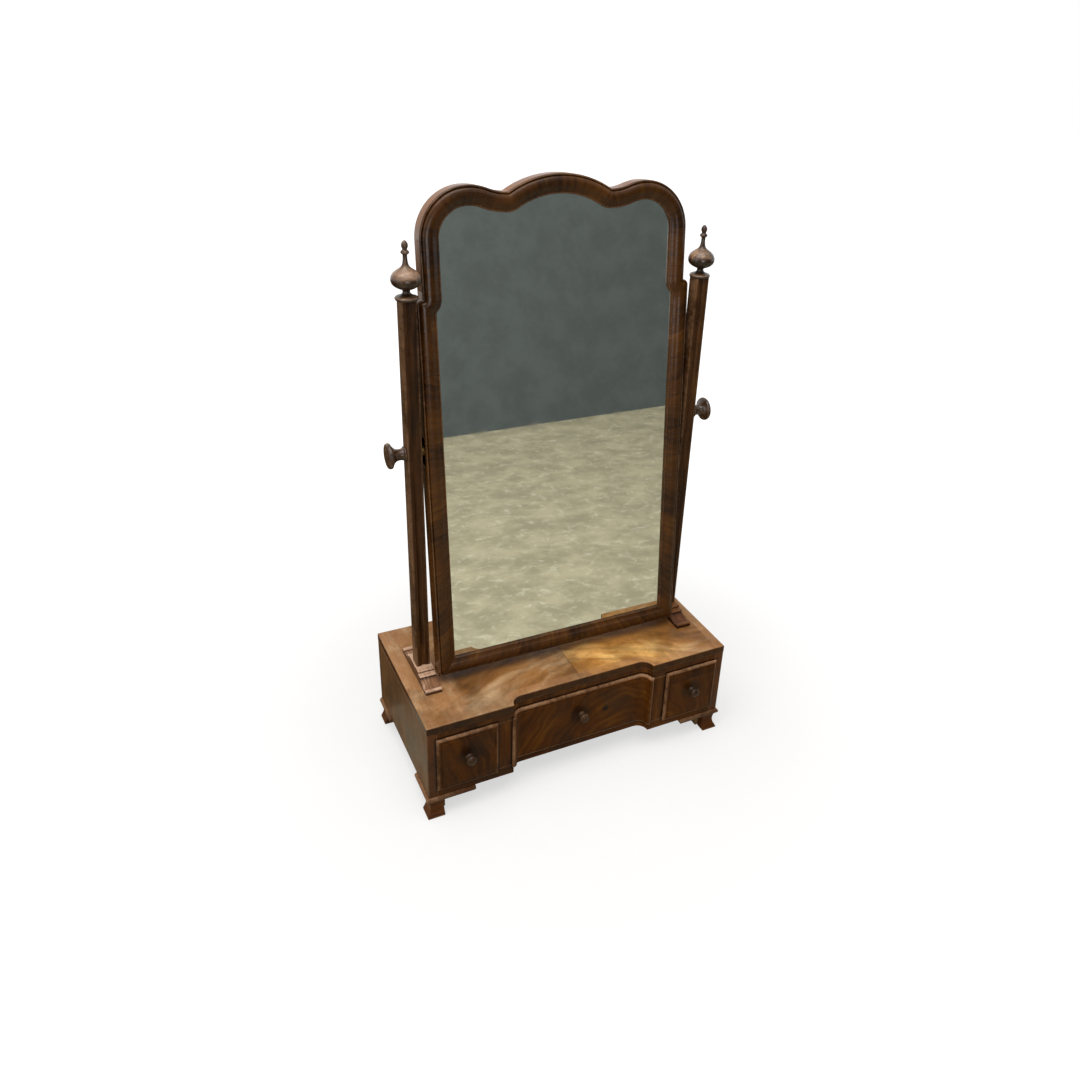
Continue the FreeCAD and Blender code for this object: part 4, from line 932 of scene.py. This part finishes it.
def drawer_front(name, path, low, high):
    """Lipped front: an ovolo edge, a fillet and a slightly raised field, carried along a plan.

    Each ring is a rectangle of distance along the plan and height, moved inwards, and stands
    proud of the case's face by the moulding's profile at that inset. The upper lip takes the most
    worn colour, partly wear and partly a painted highlight where the light falls on its top.
    """
    turn = np.linspace(0, QUARTER, 7)
    section = np.concatenate([
        [(0.0, 0.0003), (0.0, 0.0010)],
        points(0.0050 * (1 - np.cos(turn)), 0.0010 + 0.0033 * np.sin(turn))[1:],
        [(0.0054, 0.0043), (0.0056, 0.0038), (0.0060, 0.0038), (0.0063, 0.0049), (0.0080, 0.0052)],
    ])
    half = path[-1, 0]
    across, up = np.linspace(-1, 1, 150 if name.startswith("centre") else 24), np.linspace(0, 1, 12)

    def carry(along, height, proud):
        x, y, angle = (np.interp(along, path[:, 0], path[:, k]) for k in (1, 2, 3))
        return points(x + proud * np.cos(angle), y + proud * np.sin(angle), height)

    inset, proud = section[:, :1], section[:, 1:]
    reach, foot, head = half - inset, low.z + inset, high.z - inset
    sides = [
        carry(across * reach, foot, proud),
        carry(reach, foot + (head - foot) * up, proud)[:, 1:-1],
        carry(-across * reach, head, proud),
        carry(-reach, head + (foot - head) * up, proud)[:, 1:-1],
    ]
    edge = np.interp(section[:, 0], [0, 0.0022, 0.0045, 0.0065], [0.0, 0.0003, 0.0016, NOT_WORN])
    # The upper lip, the third side, is worn fully: partly wear, partly a painted highlight on its lit top
    least = np.repeat((0.0003, 0.0003, 0.0, 0.0003), [side.shape[1] for side in sides])
    shapes = [stack(np.concatenate(sides, axis=1), np.maximum(edge[:, None], least[None]), closed=False)]
    for e, h in (section[-1], section[0]):
        level = low.z + e + (high.z - low.z - 2 * e) * up
        shapes.append(sheet_grid(carry(across * (half - e), level[:, None], h), NOT_WORN))
    return join(*shapes, front_block(name))


def front_block(name, lip=0.0037, sunk=0.0012):
    """Part of a drawer front that enters the opening: one ring of four corners for each place across.

    It ends a lip's width below the top of the front, and its hollow front lies inside the lip.
    """
    sizes = bpy.context.scene.mirror_case
    low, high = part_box(f"{name}_left_side")[0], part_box(f"{name}_right_side")[1]
    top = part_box(f"{name}_front")[1].z - lip
    x = np.linspace(low.x, high.x, 61)
    front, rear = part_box("top_board")[0].y, low.y
    if name.startswith("centre"):
        deep, hub = sizes.recess_depth - sunk, sizes.recess_half - sizes.recess_depth
        front = front + np.sqrt(np.maximum(deep ** 2 - np.maximum(np.abs(x) - hub, 0) ** 2, 0))
    corners = ((front, low.z), (front, top), (rear, top), (rear, low.z))
    return stack(np.stack([points(x, y, z) for y, z in corners], axis=1), np.full(len(x), NOT_WORN))


def drawer_knob(low, high, tall=0.014):
    """Small knob turned about an axis that points to the front.

    Its profile is a collar, a hollow stem and a flattened ball with a shallow button.
    """
    profile = np.concatenate([
        [(0.0, 0.0), (0.0046, 0.0), (0.0047, 0.0009)],
        smooth_through([(0.0044, 0.0016), (0.0033, 0.0028), (0.0029, 0.0042), (0.0034, 0.0056)], 10),
        smooth_through([(0.0050, 0.0064), (0.0065, 0.0078), (0.0070, 0.0095), (0.0066, 0.0112),
                        (0.0052, 0.0127), (0.0030, 0.0136), (0.0012, 0.0139), (0.0, tall)], 24),
    ])
    return turning(profile, ((low.x + high.x) / 2, low.y + tall, (low.z + high.z) / 2), (0, -1, 0), 40)


class MIRROR_OT_posts(Operator):
    """Build the shoes, uprights and finials"""
    bl_idname = "mirror.posts"
    bl_label = "Posts"

    def execute(self, context):
        # The right shoe takes the darker foot tones as painted shade, for the frame's shadow on it
        for side, tones in (("left", "shoe"), ("right", "foot")):
            foot, post, top = (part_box(f"{side}_{part}") for part in ("shoe", "upright", "finial"))
            for name, node, shape, sharp, material in (
                    ("foot_scroll", "shoe", shoe(*foot), 34,
                     walnut(f"Walnut of the {side} shoe", tones, "Y", edge=True, wear=1.0, streaks=50.0,
                            reach=0.003, worn=f"{tones}_light", shade=True)),
                    ("post", "upright", upright(*post, foot[1].z), 34,
                     walnut("Upright walnut", "post", "Z", edge=True, wear=0.4, gloss=0.3, streaks=50.0,
                            draw=0.05, shine=0.08)),
                    ("urn", "finial", finial(*top, post[1].z), 50,
                     walnut("Finial walnut", "turning", "Z", edge=True, wear=0.36, streaks=60.0, gloss=0.2,
                            reach=0.003, shine=0.32, worn="shoe_light", shade=True))):
                make_piece(f"{side}_{name}", shape, material, "post_wood", f"{side}_{node}", sharp=sharp)
        return {"FINISHED"}


def shoe(low, high):
    """Scrolled foot of an upright: its side outline carried across its width with rounded rims.

    The outline's half is four curves: two rolls, a slope and a scroll. Their ridges are marked
    with the worn colour, partly wear and partly a painted highlight on their lit tops; the hollows
    and sides are darkened as painted shade.
    """
    count, far, rim = 12, 0.004, 0.0005
    upper = smooth_through([(0.200, 1.00), (0.345, 1.00), (0.372, 0.985), (0.384, 0.94), (0.379, 0.87),
                            (0.362, 0.815)], count)
    lower = smooth_through([(0.372, 0.780), (0.492, 0.775), (0.517, 0.758), (0.529, 0.715), (0.524, 0.64),
                            (0.508, 0.58)], count)
    slope = smooth_through([(0.520, 0.550), (0.64, 0.430), (0.76, 0.320), (0.850, 0.245),
                            (0.872, 0.215)], count)
    scroll = smooth_through([(0.880, 0.235), (0.896, 0.335), (0.935, 0.400), (0.975, 0.370), (0.998, 0.26),
                             (1.0, 0.12), (0.985, 0.0)], 16)
    # Ridges that take the worn colour: partly wear, partly a painted highlight on their lit tops
    sound = np.concatenate([
        np.interp(upper[:, 1], [0.88, 0.93], [1, 0]), np.interp(lower[:, 1], [0.66, 0.72], [1, 0]),
        np.ones(count), np.interp(scroll[:, 1], [0.22, 0.33], [1, 0])])
    # Painted shade level: dark in the hollows, full on the lit faces
    light = np.concatenate([
        np.interp(upper[:, 1], [0.84, 0.93], [0.3, 1]), np.interp(lower[:, 1], [0.60, 0.70], [0.3, 1]),
        np.interp(np.arange(count), [0, 2, 9, 11], [0.3, 1.0, 1.0, 0.3]),
        np.interp(scroll[:, 1], [0.22, 0.32], [0.4, 1])])
    end = np.concatenate([upper, lower, slope, scroll])
    outline, sound, light = (np.concatenate([part * flip, part[::-1]])
                             for part, flip in ((end, (-1, 1)), (sound, 1), (light, 1)))
    middle = (low + high) / 2
    outline = outline * ((high.y - low.y) / 2, high.z - low.z) + (middle.y, low.z)
    shape = slab(outline, "X", low.x, high.x, rim, ((0.0001, far),))
    last = len(shape["points"]) // len(outline) - 1
    inside = np.interp(np.arange(last + 1), [1, 3, last - 3, last - 1], [0, 1, 1, 0])[:, None]
    shape["edge"] = (far * (1 - inside * (1 - sound[None]))).ravel()
    # Painted shade: sides and rims darker, hollows by their light level
    shape["shade"] = ((0.6 + 0.4 * inside) * light[None]).ravel()
    return shape


def upright(low, high, base):
    """Square post: one section carried straight up from the shoe to the finial.

    The section has rounded arrises, and its front is two flat fillets either side of a flute,
    which is an arc about a point in front of the post.
    """
    half, flute, r, far = (high.x - low.x) / 2, 0.0035, 0.0011, 0.004
    hollow, ahead, turn = 0.0045, 0.00283, 51.06
    flat = np.concatenate([
        arc((-half + r, half - r), r, 90, 180, 5),
        arc((-half + r, -half + r), r, 180, 270, 5),
        [(-flute - 0.0009, -half), (-flute - 0.0003, -half + 0.0001)],
        arc((0, -half - ahead), hollow, 90 + turn, 90 - turn, 11),
        [(flute + 0.0003, -half + 0.0001), (flute + 0.0009, -half)],
        arc((half - r, -half + r), r, 270, 360, 5),
        arc((half - r, half - r), r, 0, 90, 5),
    ])
    middle = (low + high) / 2
    level = np.array([base, base + 0.01, high.z - 0.01, high.z])
    corner = np.abs(np.abs(flat) - half).max(axis=1)
    worn = np.where(corner < 1.2 * r, 0.0, far)
    return stack(points(flat[:, 0] + middle.x, flat[:, 1] + middle.y, level[:, None]), worn[None])


def finial(low, high, seat, steps=56, far=0.004):
    """Onion finial turned about the post's axis, from a profile in parts of its radius and height.

    From below: a rounded cap, a waist, a flattened bulb, a slender stem, a ring and a bud. The
    upper sides of the cap and the bulb get a painted highlight, lighter and in the worn colour;
    the hollows and the stem are darkened as painted shade.
    """
    profile = np.concatenate([
        [(0.0, 0.0), (0.72, 0.0)],
        smooth_through([(0.76, 0.012), (0.79, 0.030), (0.77, 0.050), (0.69, 0.068)], 9),
        smooth_through([(0.60, 0.074), (0.42, 0.092), (0.29, 0.118), (0.245, 0.150), (0.28, 0.176)], 12),
        smooth_through([(0.44, 0.192), (0.70, 0.224), (0.90, 0.268), (0.985, 0.318), (1.0, 0.352),
                        (0.97, 0.398), (0.87, 0.446), (0.70, 0.488), (0.50, 0.524), (0.33, 0.556),
                        (0.225, 0.594), (0.175, 0.645), (0.15, 0.705), (0.15, 0.764)], 48),
        smooth_through([(0.20, 0.772), (0.27, 0.790), (0.28, 0.806), (0.25, 0.824), (0.17, 0.838)], 10),
        smooth_through([(0.15, 0.850), (0.19, 0.880), (0.225, 0.912), (0.20, 0.948), (0.12, 0.980),
                        (0.05, 0.996), (0.0, 1.0)], 16),
    ])
    # Painted light level by height: above one a painted highlight, below one painted shade
    height, level = np.transpose([
        (0.0, 0.6), (0.03, 0.8), (0.06, 1.3), (0.09, 0.5), (0.19, 0.4), (0.30, 0.5), (0.36, 0.75),
        (0.41, 1.3), (0.47, 1.5), (0.56, 1.0), (0.66, 0.6), (0.76, 0.5), (0.80, 0.9), (0.84, 0.5),
        (0.91, 0.6), (1.0, 0.9)])
    base = ((low.x + high.x) / 2, (low.y + high.y) / 2, seat)
    shape = turning(profile * ((high.x - low.x) / 2, high.z - seat), base, (0, 0, 1), steps)
    shade = np.interp(profile[:, 1], height, level)
    shape["shade"] = np.repeat(shade, steps)
    # Worn colour where the painted light level is high: a painted highlight
    shape["edge"] = np.repeat(far * np.clip(1.5 - shade, 0, 1), steps)
    return shape


class MIRROR_OT_pivots(Operator):
    """Build the pivot knobs and finish the brass"""
    bl_idname = "mirror.pivots"
    bl_label = "Pivots"

    def execute(self, context):
        brass = metal("Old brass", context.scene.mirror_finishes.brass, 0.3)
        wood = walnut("Pivot knob walnut", "turning", "X", streaks=60.0, gloss=0.2, grime=0.6, shine=0.4)
        for side, sign in (("left", -1), ("right", 1)):
            make_piece(f"{side}_pivot_turning", pivot_knob(*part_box(f"{side}_pivot_knob"), sign), wood,
                       "knob_wood", f"{side}_pivot_knob", sharp=50)
            for node in (f"{side}_pivot_screw", f"{side}_nut_plate"):
                dress(node, brass)
        return {"FINISHED"}


def pivot_knob(low, high, sign):
    """Knob turned about the swing axis, standing out to one side.

    Its profile, in parts of its radius and length, is a collar, a flared neck and a domed head.
    """
    profile = np.concatenate([
        [(0.0, 0.0), (0.57, 0.0)],
        smooth_through([(0.60, 0.02), (0.61, 0.05), (0.58, 0.085), (0.52, 0.10)], 7),
        smooth_through([(0.49, 0.12), (0.45, 0.20), (0.44, 0.32), (0.47, 0.44), (0.56, 0.55),
                        (0.72, 0.65), (0.90, 0.715)], 22),
        smooth_through([(0.96, 0.735), (1.0, 0.79), (1.0, 0.85), (0.96, 0.91)], 8),
        smooth_through([(0.90, 0.935), (0.70, 0.965), (0.40, 0.99), (0.0, 1.0)], 14),
    ])
    base = (high.x if sign < 0 else low.x, (low.y + high.y) / 2, (low.z + high.z) / 2)
    return turning(profile * ((high.z - low.z) / 2, high.x - low.x), base, (sign, 0, 0), 48)


class MIRROR_OT_frame(Operator):
    """Build the moulded frame of the mirror in its four members"""
    bl_idname = "mirror.frame"
    bl_label = "Mirror frame"

    def execute(self, context):
        section, worn = frame_section()
        for name, member, flip, start in (
                ("crest", "crest", 1, 0.0), ("right_stile", "stile", 1, 0.72),
                ("left_stile", "stile", -1, 0.36), ("bottom_rail", "rail", 1, 0.42)):
            outline = half_outline(section[:, 0], member) * (flip, 1)
            if member != "stile":
                outline = np.concatenate([outline[::-1] * (-1, 1), outline[1:]])
            shape = moulding(outline, section, worn, start)
            make_piece(f"{name}_moulding", shape, frame_veneer("Frame veneer"), "frame_wood",
                       f"frame_{name}", sharp=34)
        return {"FINISHED"}


def frame_section():
    """Section of the frame: inset from the outer edge and height in front of the glass.

    An outer bead, a quirk, a broad cushion, an arris, a hollow slope and a small sight bead;
    then the sight edge, the rebate and the back. Returned with the distance from the beads that
    take the worn colour, partly wear and partly a painted highlight along them.
    """
    bead = smooth_through([(0.0, 2.6), (0.15, 3.4), (0.65, 4.15), (1.4, 4.45), (2.2, 4.15),
                           (2.75, 3.4)], 12)
    cushion = smooth_through([(3.0, 3.3), (3.25, 4.6), (4.0, 5.9), (5.4, 6.8), (7.4, 7.35), (9.4, 7.5),
                              (11.6, 7.35), (13.6, 6.85), (15.2, 6.1)], 22)
    slope = smooth_through([(15.3, 5.9), (16.6, 5.0), (18.2, 4.05), (19.8, 3.35), (20.8, 3.05)], 9)
    sight = smooth_through([(20.9, 3.2), (21.4, 3.4), (21.95, 3.2), (22.35, 2.6), (22.5, 1.9)], 7)
    back = [(22.5, 0.0), (16.5, 0.0), (16.5, -15.0)]
    section = np.concatenate([[(0.0, -15.0)], bead, cushion, slope, sight, back]) * MM
    bead_top, sight_top, less = 1.2 * MM, 21.4 * MM, 0.2 * MM
    # Worn colour along the outer and sight beads: partly wear, partly a painted highlight
    away = np.minimum(np.abs(section[:, 0] - bead_top), np.abs(section[:, 0] - sight_top) + less)
    away[section[:, 1] < 1.5 * MM] = NOT_WORN
    return section, away


def half_outline(inset, member):
    """Right half of one member's outline, moved inwards by each inset: points by steps and insets.

    Arcs keep their centres and change their radii. At the valley the outline has a corner, so
    the moved line turns about that point; at the step it turns about the step's inner corner.
    """
    s = bpy.context.scene.mirror_sizes
    inset = inset[None]
    wide, narrow, step = s.lower_half, s.upper_half, s.lower_half - s.upper_half
    valley = s.top - s.arch_rise
    shoulder = narrow - s.corner_radius
    reach, rise = (shoulder - s.arch_half) / 2, s.shoulder_rise / 2
    wave = (reach ** 2 + rise ** 2) / (2 * rise)
    arch = (s.arch_half ** 2 + s.arch_rise ** 2) / (2 * s.arch_rise)
    spring = valley + 2 * rise - s.corner_radius

    def ring(centre, radius, start, stop, count):
        angle = start + np.linspace(0, 1, count)[:, None] * (stop - start)
        return points(centre[0] + radius * np.cos(angle), centre[1] + radius * np.sin(angle))

    def run(start, stop, count):
        t = np.linspace(0, 1, count)[:, None]
        return points(*(a + t * (b - a) for a, b in zip(start, stop)))

    if member == "crest":
        tip = math.atan2(valley - (s.top - arch), s.arch_half)
        bend = math.atan2(rise - wave, reach)
        parts = [
            ring((0, s.top - arch), arch - inset, QUARTER, tip, 26),
            ring((s.arch_half, valley), inset, tip - math.pi, -QUARTER, 7),
            ring((s.arch_half, valley + wave), wave + inset, -QUARTER, bend, 13),
            ring((shoulder, valley + 2 * rise - wave), wave - inset, bend + math.pi, QUARTER, 13),
            ring((shoulder, spring), s.corner_radius - inset, QUARTER, 0, 22),
        ]
    elif member == "stile":
        outer = inset < step
        fall = np.where(outer, inset, np.sqrt(np.maximum(inset ** 2 - (inset - step) ** 2, 0)))
        stop = np.where(outer, 1.5 * math.pi, math.pi + np.arctan2(fall, np.maximum(inset - step, 1e-9)))
        turned = ring((narrow, s.step - step), np.maximum(step - inset, 0), QUARTER, 0, 6)
        held = points(wide - inset, s.step - fall)
        parts = [
            run((narrow - inset, spring), (narrow - inset, s.step), 8),
            ring((narrow, s.step), inset, math.pi, stop, 8),
            np.where(outer[..., None], turned, held),
            run((wide - inset, np.where(outer, s.step - step, s.step - fall)),
                (wide - inset, s.bottom + inset), 40),
        ]
    else:
        parts = [run((0 * inset, s.bottom + inset), (wide - inset, s.bottom + inset), 16)]
    return np.concatenate([parts[0]] + [p[1:] for p in parts[1:]])


def moulding(outline, section, worn, start):
    """Section carried along an outline, then leaned back about the swing axis."""
    s = bpy.context.scene.mirror_sizes
    unturned = points(outline[..., 0], s.sight_plane - section[:, 1], outline[..., 1])
    hub = np.array([0, s.pivot_depth, s.pivot_height])
    spin = np.array(Matrix.Rotation(-s.lean, 3, "X"))
    rings = (unturned - hub) @ spin.T + hub
    along = start + distances(rings[:, np.argmax(section[:, 1])])
    return stack(rings, worn[None], distances(section), along)


class MIRROR_OT_glass(Operator):
    """Finish the looking glass, its backboard, blocks and nails"""
    bl_idname = "mirror.glass"
    bl_label = "Glass and back"

    def execute(self, context):
        dress("mirror_glass", looking_glass("Looking glass"))
        dress("mirror_backboard", lining("Z", "Backboard pine", 0.65))
        dress("glass_blocks", lining("Z"))
        dress("backboard_nails", metal("Old iron", context.scene.mirror_finishes.iron, 0.5))
        return {"FINISHED"}


class MIRROR_OT_stage(Operator):
    """Set up the floor, the studio cards, the lights and the camera"""
    bl_idname = "mirror.stage"
    bl_label = "Stage"

    def execute(self, context):
        stage = context.scene.mirror_stage
        floor, *cards = (stage_plane(*plane) for plane in (
            ("floor", (-9, -9, -0.0003), (9, 9, -0.0003), pale_floor("Pale floor", stage.floor)),
            ("floor_card", (-3.0, -1.9, 0.0005), (3.5, 0.13, 0.0005),
             matt("Beige card", stage.card, 0.24, 0.6)),
            ("back_card", (-3.0, 0.13, 0.0005), (3.5, 3.0, 0.0005),
             matt("Brown card", stage.back_card, 0.1)),
            ("screen", (-2.2, -1.8, 0.0), (3.2, -1.8, 1.5), matt("Grey screen", stage.screen, 0.12)),
            ("window_card", (-0.75, -1.75, 0.30), (0.05, -1.75, 0.95), bright("Window card", 5.0))))
        for card in cards:
            card.visible_camera = card.visible_shadow = card.visible_diffuse = False
        studio_world(context.scene)
        area_light("key", (-0.5, -0.45, 2.6), (0, 0, 0.3), 2.2, stage.key_power)
        area_light("fill", (-2.4, -0.8, 1.1), (0, 0, 0.4), 1.6, stage.fill_power)
        photo_camera(context.scene)
        context.scene.view_settings.view_transform = "Standard"
        return {"FINISHED"}


def stage_plane(name, low, high, material):
    """Flat stage surface between two corners, upright where they differ in height."""
    (a, b, c), (d, e, f) = low, high
    mesh = bpy.data.meshes.new(name)
    mesh.from_pydata([(a, b, c), (d, b, c), (d, e, f), (a, e, f)], [], [(0, 1, 2, 3)])
    mesh.materials.append(material)
    plane = bpy.data.objects.new(name, mesh)
    bpy.context.scene.collection.objects.link(plane)
    return plane


@named_material
def matt(graph, shader, place, colour, depth, flecks=0.0):
    """Matt card with a soft mottle and pale flecks."""
    mottle = graph.noise(place, 11.0, 6.0, 0.68).span(0.36, 0.66)
    tint = graph.blend(mottle, [(1 - depth) * c for c in colour], [(1 + 0.4 * depth) * c for c in colour])
    fleck = graph.noise(place, 34.0, 5.0, rough=0.7, twist=0.5).span(0.50, 0.70, 0.0, flecks)
    tint = graph.blend(fleck, tint, FLECK_COLOUR)
    graph.fill(shader, Base_Color=tint, Roughness=0.9, Specular_IOR_Level=0.1)


@named_material
def bright(graph, shader, place, strength):
    """Card with a light of its own."""
    graph.fill(shader, Base_Color=(0, 0, 0), Emission_Color=(1, 1, 1), Emission_Strength=strength)


@named_material
def pale_floor(graph, shader, place, colour):
    """Pale floor that keeps shadows, with a little light of its own for what the camera sees."""
    tint = graph.blend(graph.noise(place, 2.0).span(0.3, 0.7), [0.985 * c for c in colour], colour)
    glow = graph.vector("LENGTH", place, output="Value").span(0.25, 1.0, 0.62, 1.0)
    graph.fill(shader, Base_Color=tint, Roughness=0.8, Specular_IOR_Level=0.1, Emission_Color=(1, 1, 1),
               Emission_Strength=graph.seen() * glow)


def studio_world(scene):
    """White surround for what is seen, and an even grey light for everything else."""
    scene.world = bpy.data.worlds.new("Studio")
    scene.world.use_nodes = True
    graph = Graph(scene.world.node_tree)
    graph.tree.nodes.clear()
    light = graph.add("ShaderNodeBackground", Color=(1, 1, 1), Strength=graph.seen().span(0, 1, 0.30, 1.0))
    graph.add("ShaderNodeOutputWorld", Surface=graph.value(light))


def area_light(name, place, aim, side, power):
    """Square light aimed at a point."""
    data = bpy.data.lights.new(name, "AREA")
    data.size, data.energy = side, power
    light = bpy.data.objects.new(name, data)
    light.location = place
    light.rotation_euler = (Vector(aim) - Vector(place)).to_track_quat("-Z", "Y").to_euler()
    bpy.context.scene.collection.objects.link(light)


def photo_camera(scene):
    """Camera that looks down on the object from its front left."""
    data = bpy.data.cameras.new("camera")
    data.sensor_width, data.lens = 36.0, 31.22
    data.shift_x, data.shift_y = -0.056, -0.0425
    camera = bpy.data.objects.new("camera", data)
    right, up = Vector((0.88729404, -0.45805061, 0.05384171)), Vector((0.1663024, 0.42664356, 0.88899875))
    turned = Matrix((right, up, right.cross(up))).transposed().to_4x4()
    camera.matrix_world = Matrix.Translation((-0.4763, -0.9698, 0.9389)) @ turned
    scene.collection.objects.link(camera)
    scene.camera = camera


class MIRROR_PT_panel(Panel):
    """Buttons for the pieces, in the order in which they are built"""
    bl_idname = "MIRROR_PT_panel"
    bl_label = "Dressing mirror"
    bl_space_type = "VIEW_3D"
    bl_region_type = "UI"
    bl_category = "Dressing mirror"

    def draw(self, context):
        for operator in OPERATORS:
            self.layout.operator(operator.bl_idname)


OPERATORS = (MIRROR_OT_case, MIRROR_OT_feet, MIRROR_OT_drawers, MIRROR_OT_posts, MIRROR_OT_pivots,
             MIRROR_OT_frame, MIRROR_OT_glass, MIRROR_OT_stage)
GROUPS = {"mirror_case": CaseSizes, "mirror_sizes": MirrorSizes, "mirror_finishes": Finishes,
          "mirror_stage": StageSettings}


def register():
    for kind in (*GROUPS.values(), *OPERATORS, MIRROR_PT_panel):
        bpy.utils.register_class(kind)
    for name, kind in GROUPS.items():
        setattr(bpy.types.Scene, name, PointerProperty(type=kind))


def unregister():
    for name in GROUPS:
        delattr(bpy.types.Scene, name)
    for kind in reversed((*GROUPS.values(), *OPERATORS, MIRROR_PT_panel)):
        bpy.utils.unregister_class(kind)


def main():
    register()
    for operator in OPERATORS:
        area, name = operator.bl_idname.split(".")
        if getattr(getattr(bpy.ops, area), name)() != {"FINISHED"}:
            raise RuntimeError(f"{operator.bl_label} was not finished")


if __name__ == "__main__":
    main()
